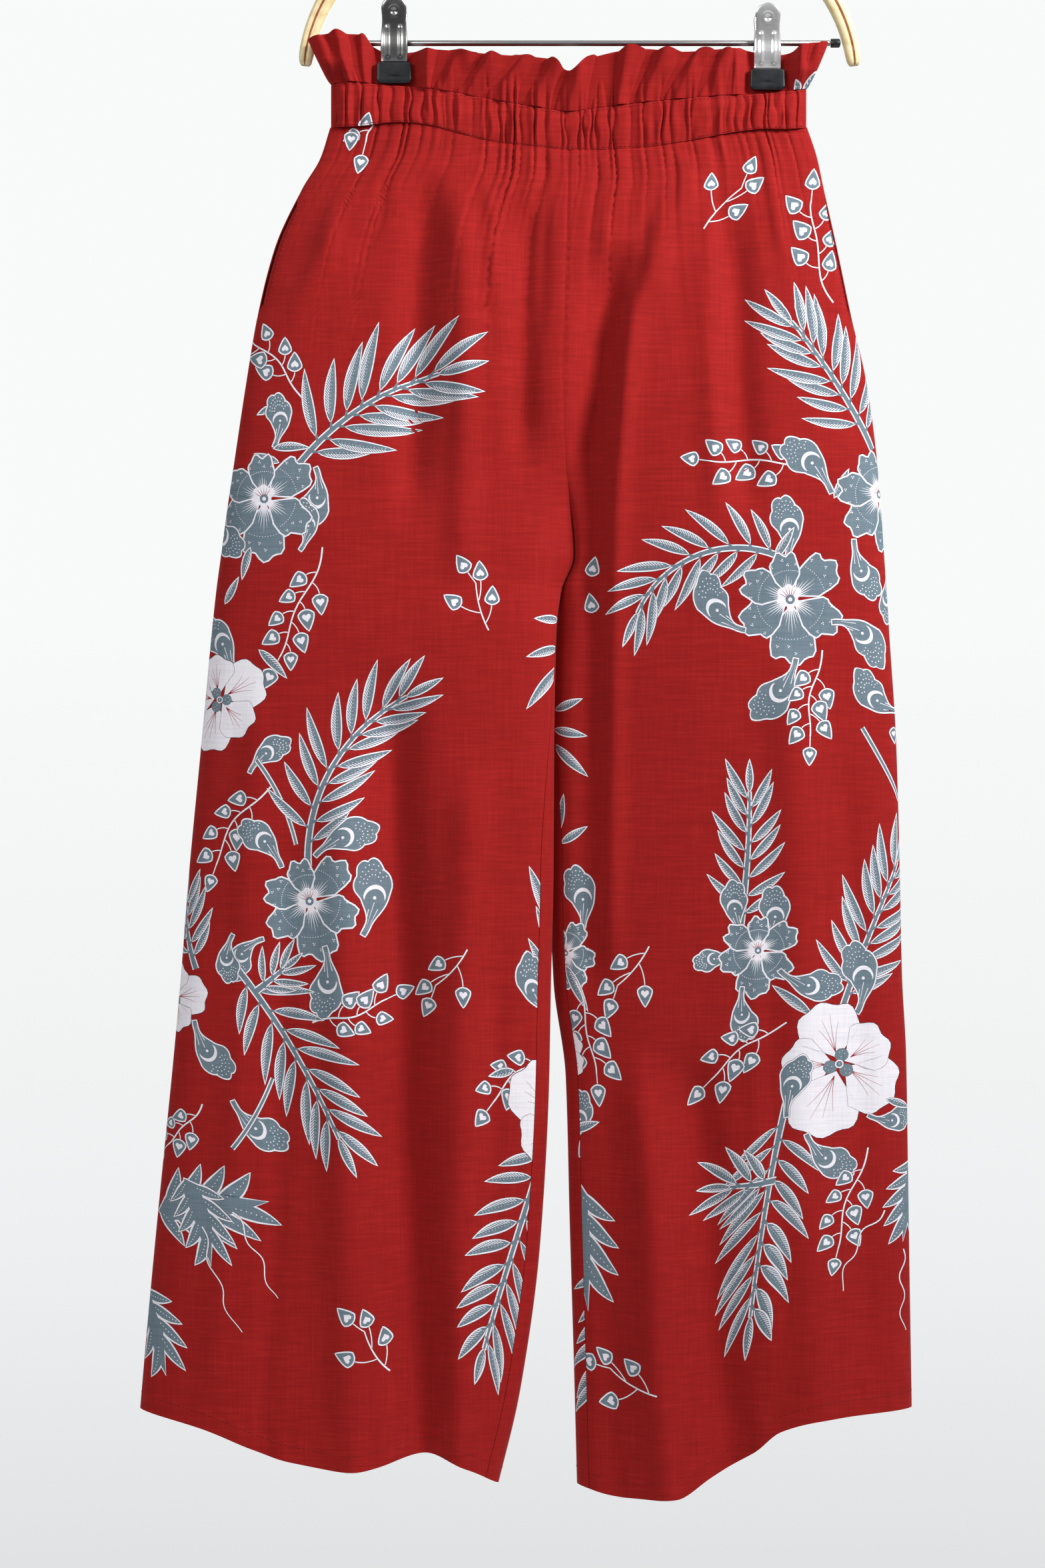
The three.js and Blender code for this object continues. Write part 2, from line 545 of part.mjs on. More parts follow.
// Bowed wooden arch: a rounded section with a shallow groove, swept round a half ellipse.
function archGeometry() {
  const angles = steps(33, ARCH.tip, Math.PI - ARCH.tip);
  return loft(angles.map((angle) => {
    const [cos, sin] = [Math.cos(angle), Math.sin(angle)];
    const centre = new THREE.Vector3(ARCH.halfSpan * cos, 0, ARCH.rise * sin - ARCH.footDrop);
    const out = new THREE.Vector3(cos / ARCH.halfSpan, 0, sin / ARCH.rise).normalize();
    const width = mix(ARM.tipWidth, ARM.midWidth, sin) / 2;
    const depth = ARM.depth / 2;
    const section = [
      [-1, -0.45], [-0.8, -0.85], [-0.2, -1], [0, -1 + ARM.groove / depth], [0.2, -1], [0.8, -0.85],
      [1, -0.45], [1, 0.45], [0.8, 0.85], [-0.8, 0.85], [-1, 0.45],
    ];
    return section.map(([u, w]) =>
      centre.clone().addScaledVector(out, u * width).add(new THREE.Vector3(0, w * depth, 0)));
  }));
}

function hookGeometry() {
  const radius = HOOK_INSIDE + WIRE;
  const neck = [{ x: 0, z: -COLLAR.top + SEAM_GAP }, ...HOOK_NECK];
  const path = neck.map(({ x, z }) => new THREE.Vector3(x, 0, z));
  for (const angle of steps(HOOK_TURN.points, HOOK_TURN.from, HOOK_TURN.to)) {
    path.push(new THREE.Vector3(radius * Math.cos(angle), 0, radius * Math.sin(angle) - HOOK_INSIDE));
  }
  const circle = new THREE.Shape().absarc(0, 0, WIRE, 0, 2 * Math.PI);
  return new THREE.ExtrudeGeometry(circle, {
    steps: 30, curveSegments: 4, bevelEnabled: false, extrudePath: new THREE.CatmullRomCurve3(path),
  });
}

const turned = (profile, sides) =>
  new THREE.LatheGeometry(profile.map(([r, h]) => new THREE.Vector2(r, h)), sides);

function capGeometry(direction) {
  const [from, to] = [BAR_HALF + SEAM_GAP, CAP_END];
  const profile = [[0, from], [CAP_RADIUS, from], [CAP_RADIUS, to - 0.8], [CAP_RADIUS - 0.8, to], [0, to]];
  return turned(profile, 16).rotateZ(-Math.PI / 2 * direction);
}

// A clip's sheet-metal jaw: it leans out above the pad, and the front one has two ribs.
function jawGeometry(depth, padTop, ribbed) {
  const places = ribbed ? [0, 0.19, 0.265, 0.34, 0.66, 0.735, 0.81, 1] : steps(3);
  const heights = ribbed ? [0, 2, 5, 15, 24, 27, 33, 38, 42, 45] : [0, 15, 30, 38, 42, 45];
  heights.push(JAW.tall);
  const base = (s, h) => {
    const over = Math.max(h - (JAW.tall - JAW.half), 0);
    const half = Math.max(JAW.half * Math.sqrt(Math.max(1 - (over / JAW.half) ** 2, 0)), JAW.tip);
    const neck = half - JAW_NECK.depth * bump((h - JAW_NECK.height) / JAW_NECK.spread);
    const lean = JAW_LEAN.foot + JAW_LEAN.shin * smooth(h / JAW_LEAN.shinTop)
      + JAW_LEAN.lever * smooth((h - JAW_LEAN.leverFrom) / JAW_LEAN.leverRun);
    return new THREE.Vector3(mix(-neck, neck, s), depth * lean, -padTop + h);
  };
  const relief = (s, h) => {
    const x = mix(-JAW.half, JAW.half, s);
    const run = smooth((h - JAW.ribFrom) / 3) * (1 - smooth((h - JAW.ribTo) / 3));
    const rib = Math.max(...[-JAW.ribX, JAW.ribX].map((at) => bump((x - at) / JAW.ribWidth)));
    return new THREE.Vector3(0, ribbed ? depth * JAW.rib * run * rib : 0, 0);
  };
  return wall({
    rows: heights.map((v) => ({ v, places })),
    base,
    relief,
    thick: () => JAW.thickness,
    away: () => new THREE.Vector3(0, depth, 0),
  });
}

function padGeometry(depth, bottom) {
  const ring = (height, grow) => {
    const [w, near, far] = [PAD.width / 2 + grow, PAD.face, PAD.face + PAD.depth + grow];
    const { corner } = PAD;
    const section = [
      [-w + corner, near], [w - corner, near], [w, near + corner], [w, far - corner],
      [w - corner, far], [-w + corner, far], [-w, far - corner], [-w, near + corner],
    ];
    return section.map(([x, y]) => new THREE.Vector3(x, depth * y, -bottom + height));
  };
  return loft([ring(0, -0.7), ring(1.2, 0), ring(PAD.height - 2, -0.3), ring(PAD.height, -1.1)]);
}

const cloth = () => new THREE.MeshStandardMaterial({ color: 0xa82a2a, roughness: 0.9, metalness: 0 });
const wood = () => new THREE.MeshStandardMaterial({ color: 0xe8d49a, roughness: 0.45, metalness: 0 });
const steel = () => new THREE.MeshStandardMaterial({ color: 0xb9bcc0, roughness: 0.25, metalness: 1 });
const rubber = () => new THREE.MeshStandardMaterial({ color: 0x1c2226, roughness: 0.4, metalness: 0 });

const pants = new THREE.Group();
function add(name, geometry, material, x = 0, z = 0) {
  const mesh = new THREE.Mesh(geometry, material);
  mesh.name = name;
  mesh.position.set(x, 0, z);
  pants.add(mesh);
}

for (const face of ["front", "back"]) {
  for (const side of ["left", "right"]) add(`${face}_leg_${side}`, legWall(side, face), cloth());
  add(`waist_casing_${face}`, casingWall(face), cloth());
  add(`frill_${face}`, frillWall(face), cloth());
}
for (const side of ["left", "right"]) add(`pocket_facing_${side}`, pocketFacing(side), cloth());

add("hanger_arch", archGeometry(), wood());
add("hook", hookGeometry(), steel());
const collarTop = [[COLLAR.radius - 1, -COLLAR.top], [0, -COLLAR.top]];
const collar = turned([[0, -COLLAR.bottom], [COLLAR.radius, -COLLAR.bottom], ...collarTop], 20);
add("hook_collar", collar.rotateX(Math.PI / 2), steel());
const bar = new THREE.CylinderGeometry(BAR_RADIUS, BAR_RADIUS, 2 * BAR_HALF, 14).rotateZ(Math.PI / 2);
add("bar", bar, steel(), 0, -BAR_DROP);
add("bar_cap_left", capGeometry(-1), rubber(), 0, -BAR_DROP);
add("bar_cap_right", capGeometry(1), rubber(), 0, -BAR_DROP);

CLIP_X.forEach((x, i) => {
  const name = ["left", "right"][i];
  const padTop = PAD_BOTTOM[i] - PAD.height - SEAM_GAP;
  for (const [face, depth] of [["front", -1], ["back", 1]]) {
    add(`clip_jaw_${face}_${name}`, jawGeometry(depth, padTop, face === "front"), steel(), x);
    add(`clip_pad_${face}_${name}`, padGeometry(depth, PAD_BOTTOM[i]), rubber(), x);
  }
  const { inner, outer, half } = SLEEVE;
  const ring = turned([[inner, -half], [outer, -half], [outer, half], [inner, half], [inner, -half]], 16);
  add(`clip_sleeve_${name}`, ring.rotateZ(Math.PI / 2), steel(), x, -BAR_DROP);
});

export default pants;
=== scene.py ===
"""Dresses the lounge pants on their clip hanger: printed cotton shells, stitches and hanger parts.

Sizes are in millimetres in the tables and are turned to metres when a mesh is made. The front
faces -Y, +X is the viewer's right, and a "drop" is a distance below the inside of the hook.
"""
import math

import bpy
import numpy as np
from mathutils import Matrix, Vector
from mathutils.geometry import delaunay_2d_cdt


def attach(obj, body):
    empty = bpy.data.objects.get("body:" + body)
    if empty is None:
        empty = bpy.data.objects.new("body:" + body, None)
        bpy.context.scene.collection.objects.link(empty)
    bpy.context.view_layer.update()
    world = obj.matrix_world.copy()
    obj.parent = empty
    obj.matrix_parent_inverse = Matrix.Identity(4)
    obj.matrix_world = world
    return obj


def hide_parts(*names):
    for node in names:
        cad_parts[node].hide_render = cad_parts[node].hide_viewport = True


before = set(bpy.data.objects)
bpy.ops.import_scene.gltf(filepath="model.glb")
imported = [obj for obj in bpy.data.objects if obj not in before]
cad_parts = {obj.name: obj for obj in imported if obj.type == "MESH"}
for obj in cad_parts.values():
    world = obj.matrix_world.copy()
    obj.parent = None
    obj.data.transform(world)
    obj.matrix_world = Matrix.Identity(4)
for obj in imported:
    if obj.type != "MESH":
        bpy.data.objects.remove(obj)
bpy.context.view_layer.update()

MM = 0.001

# The garment's form as the solids have it, but for thinner cloth and one row of OUTLINE
CLOTH, HEM_CLOTH, HEM_TURN = 0.9, 1.5, 14
SEAM_GAP, SEAM_ROOM, SEAM_TURN = 0.3, 0.03, 0.0035
HALF_GAP = SEAM_GAP / 2
WAIST_LEFT, WAIST_RIGHT, WAIST_HALF_DEPTH = -178.3, 162.5, 9.5
WAIST_WIDE = WAIST_RIGHT - WAIST_LEFT
GATHERS = 43
TOP_DROP, CROTCH_TOP, CROTCH_DROP, HEM_DROP = 262, 440, 568, 1205
HEM_FOLD = HEM_DROP - HEM_TURN
SIDE_ROUND, LEG_STAGGER, BACK_HEM_LIFT = 0.85, 8, 4
INSEAM_START, INSEAM_TURN = 0.02, 0.36
FOLD_FADE, FOLD_GAIN, POCKET_EASE = 60, 1.2, 22
CASING_LAP, WAIST_END = 0.7, 3e-5

# The flat sizes of the shells, and the steps of the chart that lays the print on a leg
LEG_WIDE = 265.0
CASING_TALL, FRILL_SHELL_TALL = 28.0, 36.0
CHART_DROP, CHART_ACROSS, CHART_COLUMNS = 6.0, 2.0, 161

# Hanger
CLIP_X = (-132.9, 134.3)
BAR_DROP, BAR_RADIUS, BAR_HALF = 200, 2.1, 179.5
CAP_RADIUS, CAP_END = 3.2, 186.9
ARCH_HALF_SPAN, ARCH_RISE, ARCH_FOOT, ARCH_TIP = 197, 145, 225, 0.062
ARM_TIP, ARM_MIDDLE, ARM_DEPTH, GROOVE = 10.4, 16, 11, 0.17
HOOK_INSIDE, WIRE = 20, 2
COLLAR_TOP, COLLAR_BOTTOM = 62, 71.6
PAD_WIDE, PAD_TALL, PAD_DEEP, PAD_FACE = 25, 15, 4.6, 2.95
PAD_BOTTOM = (229.9, 234.6)
JAW_HALF, JAW_WALL, JAW_TALL = 9.6, 1.2, 46

# Camera and light
CAMERA = (-0.041, -2.6, -0.731)
FRAME_TALL = 1.124
FLOOR = -1.75

# drop, left side, left leg's inner edge, right leg's inner edge, right side, half depth; at 592 the
# inner edges meet here, where the solids leave a small gap between the legs
OUTLINE = np.array([
    (262, -178.9, -7.6, -7.6, 163.0, 9.5), (284, -186.0, -8.2, -8.2, 170.0, 13),
    (305, -198.6, -8.8, -8.8, 174.5, 17), (347, -218.4, -9.8, -9.8, 184.0, 22),
    (398, -231.4, -11, -11, 195.0, 26), (443, -239.0, -12, -12, 205.5, 28),
    (500, -247.6, -10, -10, 213.2, 29), (568, -257.5, -3.6, -3.6, 218.5, 29),
    (592, -260.5, -13, -13.6, 220.0, 29), (625, -264.0, -16.8, -17.8, 222.0, 29),
    (700, -271.0, -18.2, -21, 226.8, 28), (800, -280.5, -18.8, -21.4, 229.6, 28),
    (870, -285.8, -20.6, -18.8, 231.0, 28), (934, -291.2, -22, -10, 234.0, 28),
    (1030, -300.0, -28, -7.2, 235.4, 29), (1130, -308.8, -42, -4, 236.8, 30),
    (1205, -315.0, -58, -2, 238.0, 31),
])
# x, and the drops of the frill's top, the casing's top and the casing's bottom there
WAIST_LINES = np.array([
    (-178, 200, 230.0, 260.3), (-165, 196, 229.0, 260.3), (-153, 196.6, 229.6, 259.8),
    (-147, 203, 230.2, 259.0), (-133, 209, 231.2, 257.5), (-118, 207, 232.4, 258.0),
    (-60, 211, 242.5, 271.5), (-22, 214, 248.8, 276.0), (-8, 222.5, 250.8, 277.4),
    (6, 214, 249.0, 277.4), (44, 207, 244.2, 275.4), (75, 209, 241.2, 271.0),
    (118, 206, 237.8, 263.5), (134, 209.5, 236.6, 262.0), (147, 208, 235.0, 262.0),
    (153, 203.3, 234.4, 261.6), (162, 201.5, 233.5, 260.3),
])
# x and the hem's drop there
HEM_LEFT = np.array([
    (-315, 1177.5), (-270, 1188.5), (-205, 1212), (-162, 1217.7), (-110, 1207.6), (-82, 1217.7),
    (-58, 1231),
])
HEM_RIGHT = np.array([
    (-2, 1231.5), (32, 1238.2), (68, 1237.2), (92, 1224), (123, 1206), (142, 1190), (170, 1182),
    (238, 1176.5),
])
# Folds: a line through (drop, x) three times, its half width, and how far it stands out
FRONT_FOLDS = [
    (330, 26, 540, 4, 900, 0, 15, -12), (350, 36, 600, 22, 880, 20, 9, 6),
    (280, 84, 350, 52, 430, 26, 14, 5), (300, 108, 400, 112, 560, 120, 13, -6),
    (280, -143, 345, -180, 420, -214, 13, 5), (285, -108, 420, -116, 560, -122, 13, -7),
    (290, -84, 430, -82, 600, -84, 12, 5), (285, -38, 400, -40, 520, -42, 11, -6),
    (640, -134, 920, -126, 1230, -111, 17, -11), (700, -170, 950, -166, 1240, -160, 18, 7),
    (700, -78, 950, -84, 1240, -84, 15, 6), (900, 40, 1060, 52, 1250, 62, 15, 8),
    (900, 78, 1060, 92, 1250, 112, 18, -9), (620, 150, 900, 156, 1240, 168, 20, 6),
]
BACK_FOLDS = [
    (320, -30, 540, -14, 900, -16, 15, -11), (290, 70, 420, 88, 560, 96, 14, -7),
    (290, 30, 400, 36, 540, 44, 13, 5), (285, -70, 400, -92, 560, -104, 14, -7),
    (285, -120, 360, -160, 450, -190, 14, 5), (640, -190, 920, -196, 1230, -206, 18, -9),
    (680, -140, 940, -138, 1240, -134, 18, 8), (660, 92, 940, 100, 1240, 108, 18, -10),
    (700, 52, 960, 54, 1240, 52, 16, 7), (640, 160, 900, 166, 1240, 176, 18, 7),
]
# Smaller creases that only the cloth shells have
FRONT_CREASES = [
    (275, -160, 330, -178, 400, -206, 6, 1.6), (270, -128, 320, -140, 375, -158, 5, -1.8),
    (272, -70, 330, -62, 420, -58, 6, 1.8), (275, -22, 340, -25, 430, -27, 5, -1.5),
    (272, 22, 320, 18, 390, 12, 5, 1.7), (275, 62, 330, 46, 420, 30, 6, -1.8),
    (270, 132, 320, 140, 380, 152, 6, 1.7), (290, 90, 420, 92, 560, 98, 8, 1.8),
    (560, 6, 640, 12, 760, 14, 5, -1.6), (640, -230, 900, -242, 1200, -262, 11, 1.8),
    (760, -206, 980, -214, 1220, -226, 9, -2.0), (840, -58, 1010, -62, 1220, -70, 8, -1.6),
    (700, 190, 930, 200, 1200, 206, 10, -1.9), (680, 118, 900, 124, 1180, 136, 9, 1.8),
    (1040, 18, 1130, 22, 1250, 26, 8, -2.2), (1060, -148, 1140, -142, 1250, -136, 8, 1.8),
]
BACK_CREASES = [
    (275, -150, 330, -170, 410, -196, 6, -1.7), (272, -50, 330, -54, 420, -62, 6, 1.7),
    (275, 50, 330, 58, 420, 66, 5, 1.6), (272, 120, 330, 132, 420, 150, 6, -1.8),
    (700, -240, 920, -250, 1200, -270, 10, 1.9), (820, -90, 1000, -88, 1220, -92, 8, -1.7),
    (700, 140, 930, 140, 1200, 144, 9, -1.8), (760, 20, 960, 22, 1220, 26, 9, 1.8),
]
# Slanted pocket mouths: drops of their ends, and how far the front stops short
POCKET = {"left": (303, 402, 0.14), "right": (303, 412, 0.09)}


def smooth(t):
    k = np.clip(t, 0, 1)
    return k * k * (3 - 2 * k)


def mix(a, b, t):
    return a + (b - a) * t


def bump(t):
    return np.exp(-t * t)


def curve(at, to):
    """A smooth curve without overshoot through the points."""
    rate = np.diff(to) / np.diff(at)
    product = rate[:-1] * rate[1:]
    total = np.where(product > 0, rate[:-1] + rate[1:], 1)
    slope = np.concatenate([rate[:1], np.where(product > 0, 2 * product / total, 0), rate[-1:]])

    def value(x):
        x = np.asarray(x, float)
        i = np.clip(np.searchsorted(at, x, side="right") - 1, 0, len(at) - 2)
        span = at[i + 1] - at[i]
        t = (x - at[i]) / span
        bend = t * (1 - t) * span * ((1 - t) * slope[i] - t * slope[i + 1])
        inside = mix(to[i], to[i + 1], smooth(t)) + bend
        below = to[0] + slope[0] * (x - at[0])
        above = to[-1] + slope[-1] * (x - at[-1])
        return np.where(x <= at[0], below, np.where(x >= at[-1], above, inside))

    return value


out_left, in_left, in_right, out_right, half_depth = (
    curve(OUTLINE[:, 0], column) for column in OUTLINE[:, 1:].T)
frill_top, casing_top, casing_bottom = (curve(WAIST_LINES[:, 0], column) for column in WAIST_LINES[:, 1:].T)
hem_line = {"left": curve(*HEM_LEFT.T), "right": curve(*HEM_RIGHT.T)}

# Uneven strength and reach of the gathers, one value at each valley between two puffs
chance = np.random.default_rng(7)
GATHER_PLACES = np.arange(GATHERS + 2)
GATHER_CHANCE = chance.uniform(0, 1, GATHERS + 2) ** 1.8
GATHER_CALM = 1 - 0.5 * np.exp(-((GATHER_PLACES / GATHERS - 0.52) / 0.15) ** 2)
GATHER_SIZE = (0.3 + 1.5 * GATHER_CHANCE) * GATHER_CALM
GATHER_REACH = chance.uniform(12, 32, GATHERS + 2) + 48 * GATHER_CHANCE
GATHER_SLANT = chance.uniform(-1.6, 1.6, GATHERS + 2)


def gather_phase(t):
    """The gathers' running count across the waist, unevenly spaced."""
    drift = 0.9 * np.sin(4 * np.pi * t) + 0.45 * np.sin(11 * np.pi * t)
    return GATHERS * t + drift + 0.2 * np.sin(37 * np.pi * t) + 0.13 * np.sin(61 * np.pi * t)


def puff(phase):
    return np.abs(np.sin(np.pi * phase)) ** 1.05


def near_clip(x, flat, fade):
    """1 within flat of a clip's middle, and down to 0 over fade."""
    return np.max([1 - smooth((np.abs(x - clip) - flat) / fade) for clip in CLIP_X], axis=0)


def fold_rise(folds, x, drop):
    """How far the folds of a table stand out at each place."""
    total = np.zeros(np.broadcast(x, drop).shape)
    for top, x_top, mid, x_mid, low, x_low, width, rise in folds:
        upper = mix(x_top, x_mid, smooth((drop - top) / (mid - top)))
        lower = mix(x_mid, x_low, smooth((drop - mid) / (low - mid)))
        line = np.where(drop < mid, upper, lower)
        fade = smooth((drop - top) / FOLD_FADE)
        if low <= HEM_DROP:
            fade = fade * (1 - smooth((drop - low + FOLD_FADE) / FOLD_FADE))
        total = total + rise * fade * bump((x - line) / width)
    return total


def softened(wave, power):
    """A wave with its sign kept and its size raised to a power."""
    return np.sign(wave) * np.abs(wave) ** power


def way_out(face):
    """The way out of the front or back face along Y."""
    return -1 if face == "front" else 1


def leg_form(side, face, s, drop):
    """Points of a leg's smooth outer face; s runs from the inner end to the side seam."""
    left = side == "left"
    half = half_depth(drop)
    edges = out_left(drop), out_right(drop)
    outer = edges[0] if left else edges[1]
    inner = in_left(drop) if left else in_right(drop)
    middle, reach = (edges[0] + edges[1]) / 2, (edges[1] - edges[0]) / 2
    centre_angle = np.arccos((inner - middle) / reach)
    side_turn = (HALF_GAP / half) ** (1 / SIDE_ROUND)
    open_angle = mix(centre_angle, np.pi - side_turn if left else side_turn, s)
    open_x = middle + reach * np.cos(open_angle)
    open_y = way_out(face) * half * softened(np.sin(open_angle), SIDE_ROUND)

    inseam = INSEAM_START + INSEAM_TURN * smooth((drop - CROTCH_DROP) / 230)
    if face == "front":
        around = mix(inseam + SEAM_TURN, np.pi - side_turn, s)
    else:
        around = mix(2 * np.pi + inseam - SEAM_TURN, np.pi + side_turn, s)
    closed_x = (outer + inner) / 2 + (inner - outer) / 2 * np.cos(around)
    closed_y = -half * softened(np.sin(around), SIDE_ROUND)

    closing = smooth((drop - CROTCH_TOP) / (CROTCH_DROP - CROTCH_TOP))
    inward = ((1 + np.cos(around)) / 2) ** 3
    apart = smooth((drop - CROTCH_DROP) / 55) * (1 - smooth((drop - 900) / 130))
    way = -1 if left else 1
    x = mix(open_x, closed_x, closing) + way * (SEAM_ROOM - 0.3 * bump((drop - 564) / 20))
    y = mix(open_y, closed_y, closing) + way * LEG_STAGGER * inward * apart
    waist_sag = casing_bottom(x) + SEAM_GAP - TOP_DROP
    hem_sag = hem_line[side](x) - HEM_DROP - BACK_HEM_LIFT * smooth(y / half)
    sag = waist_sag * (1 - smooth((drop - TOP_DROP) / 170)) + hem_sag * smooth((drop - 780) / 425)
    return np.stack([x, y, -(drop + sag)], axis=-1)


def ripples(x, drop, shift):
    """Low uneven ripples of cloth that has been worn and hung."""
    slow = np.sin(x / 23 + 1.6 * np.sin(drop / 97 + shift)) * np.sin(drop / 143 + x / 210 + shift)
    quick = np.sin(x / 11 + 2.1 * np.sin(drop / 61 + 2 * shift)) * np.sin(drop / 83 - x / 90 + shift)
    cross = np.sin(drop / 19 + 1.4 * np.sin(x / 37 + shift)) * np.sin(x / 53 + drop / 160)
    return 0.75 * slow + 0.32 * quick + 0.16 * cross


def leg_surface(side, face, s, drop):
    """The leg's outer face with its folds, gathers, creases and hem."""
    points = leg_form(side, face, s, drop)
    x, y = points[..., 0], points[..., 1]
    body = smooth((np.abs(y) / half_depth(drop) - 0.25) / 0.6)
    ahead = y < 0
    folds = np.where(
        ahead,
        fold_rise(FRONT_FOLDS, x, drop) + fold_rise(FRONT_CREASES, x, drop),
        fold_rise(BACK_FOLDS, x, drop) + fold_rise(BACK_CREASES, x, drop),
    )
    across = np.clip((x - out_left(drop)) / (out_right(drop) - out_left(drop)), 0, 1)
    phase = gather_phase(across)
    size = np.interp(phase, GATHER_PLACES, GATHER_SIZE)
    reach = np.interp(phase, GATHER_PLACES, GATHER_REACH)
    below = np.maximum(drop - TOP_DROP, 0)
    pleats = (puff(phase) - 0.5) * size * (1.7 + 1.6 * smooth(below / 9)) * np.exp(-below / reach)
    broad = 1.3 * np.sin(np.pi * phase / 2.6 + 2 * np.sin(phase)) * smooth(below / 25)
    worn = ripples(x, drop, 0.4 if ahead.mean() > 0.5 else 2.1) * smooth((drop - 300) / 120)
    rise = FOLD_GAIN * folds + pleats + broad * np.exp(-below / 75) + worn
    rise = rise - 0.7 * bump(s * LEG_WIDE / 1.1) * (1 - smooth((drop - CROTCH_TOP) / 120))
    pucker = 0.28 * np.sin(x / 2.9 + 1.3 * np.sin(x / 17)) * bump((drop - HEM_FOLD) / 7)
    rise = rise + 0.55 * smooth((drop - HEM_FOLD) / 1.6) + pucker
    points[..., 1] = y + np.sign(y) * rise * body
    return points


def pocket_stop(side, drop):
    """How far short of the side seam the front stops, which opens the slanted pocket mouth."""
    top, bottom, notch = POCKET[side]
    below = smooth((drop - bottom + POCKET_EASE) / POCKET_EASE)
    return notch * smooth((drop - top) / POCKET_EASE) * (1 - below)


def closure(t, power):
    """The depth share of a flattened tube: 0 at its two ends and 1 between them."""
    opening = 1 - np.abs(2 * t - 1) ** power
    return np.sign(opening) * np.sqrt(np.abs(opening))


def casing_form(face, t, v):
    """The casing's smooth face, pressed flatter at the clips."""
    x = mix(WAIST_LEFT, WAIST_RIGHT, t)
    top, bottom = casing_top(x) + HALF_GAP, casing_bottom(x) + CASING_LAP
    pinch = 1 - 0.5 * near_clip(x, 13, 22) * (1 - v)
    y = way_out(face) * WAIST_HALF_DEPTH * pinch * closure(t, 12)
    return np.stack([x, y, -mix(top, bottom, v)], axis=-1)


def casing_surface(face, t, v):
    """The casing with its gathers, which lean and swell unevenly between the seams."""
    points = casing_form(face, t, v)
    phase = gather_phase(np.clip(t, 0, 1))
    slant = np.interp(phase, GATHER_PLACES, GATHER_SLANT)
    inside = np.clip(v, 0, 1)
    arch = np.sin(np.pi * inside)
    lean = 0.9 * slant * np.sin(2 * np.pi * inside) + 0.9 * np.sin(3.1 * phase) * arch
    phase = gather_phase(np.clip(t + lean / WAIST_WIDE, 0, 1))
    size = 0.5 + 0.7 * np.interp(phase, GATHER_PLACES, GATHER_SIZE)
    size = size * (1 + 0.35 * np.sin(2.7 * phase + 4 * inside) * arch)
    dome = np.sqrt(arch + 1e-9)
    rise = 2.5 * size * (puff(phase) - 0.5 * (1 - dome)) * (0.62 + 0.38 * dome)
    rise = rise + 0.4 * np.sin(np.pi * phase * 2.3 + 3 * v) * arch
    points[..., 1] += way_out(face) * rise * closure(t, 12)
    return points


# The frill: how far it flares and leans, its waves, and how flat it lies in the clips
FLARE_LEFT, FLARE_RIGHT, FRILL_TALL = 16.5, 15, 31
FRILL_LEAN, FRILL_WAVE = 5.5, 4.2
CLIP_FACE, CLIP_FLAT, CLIP_FADE = 2.6, 13.4, 11


def frill_place(face, t, v):
    """x, height above the casing and drop of the frill, which flares at its ends."""
    waist = mix(WAIST_LEFT, WAIST_RIGHT, t)
    bottom = casing_top(waist) - HALF_GAP
    side = 2 * t - 1
    front = frill_top(waist)
    if face == "back":
        front = mix(np.maximum(front + 3.5, 205.5), front, side ** 40)
    height = (bottom - front) * np.maximum(v, 0)
    flare = np.where(side < 0, FLARE_LEFT, FLARE_RIGHT)
    out = np.sign(side) * flare * (height / FRILL_TALL) ** 0.8 * np.abs(side) ** 12
    return waist + out, height, bottom - height


def frill_form(face, t, v):
    """The frill's smooth face, pressed flat in the clips and forward at its ends."""
    x, height, drop = frill_place(face, t, v)
    clip = near_clip(x, CLIP_FLAT, CLIP_FADE)
    reach = mix((WAIST_HALF_DEPTH + FRILL_LEAN * v) * closure(t, 12), CLIP_FACE, clip)
    end = np.where(t < 0.5, 12, 7)
    forward = end * smooth((np.abs(2 * t - 1) - 0.88) / 0.1) * smooth(height / 14)
    return np.stack([x, way_out(face) * reach - forward, -drop], axis=-1)


# Folds of the frill: x at the casing, x at the top, width, and how far each stands out
FRILL_FOLDS = {
    "front": [
        (-176, -190, 4, 4), (-170, -182, 3.5, -5), (-164, -174, 5, 5.5), (-157, -163, 3, -6),
        (-150, -153, 6, 4.5), (-112, -108, 5, 3.5), (-106, -98, 3, -4.5), (-98, -84, 6, 5),
        (-90, -70, 3, -4), (-80, -62, 5, 3.5), (-70, -42, 4, -3.5), (-58, -40, 8, 4.5),
        (-44, -28, 4, -4.5), (-32, -18, 7, 4), (-20, -11, 3, -5.5), (-8, 2, 8, 4.5), (6, 14, 3, -5),
        (20, 18, 4, -3), (28, 34, 7, 6.5), (37, 50, 3, -5), (46, 62, 6, 4), (58, 78, 3.5, -4.5),
        (70, 86, 7, 5), (83, 98, 3, -4), (94, 104, 5, 4), (106, 110, 3, -3.5), (152, 158, 4, 4),
        (157, 166, 3, -5), (162, 174, 5, 5),
    ],
    "back": [
        (-168, -178, 6, 4), (-158, -166, 3, -4), (-106, -96, 6, 4), (-92, -84, 3, -4),
        (-74, -62, 7, 5), (-52, -46, 3, -4), (-36, -24, 8, 4), (-14, -8, 3, -4.5), (8, 16, 7, 4.5),
        (26, 30, 3, -4), (44, 52, 7, 4), (64, 70, 3, -4), (84, 92, 7, 4), (102, 104, 3, -3),
        (156, 164, 5, 4),
    ],
}


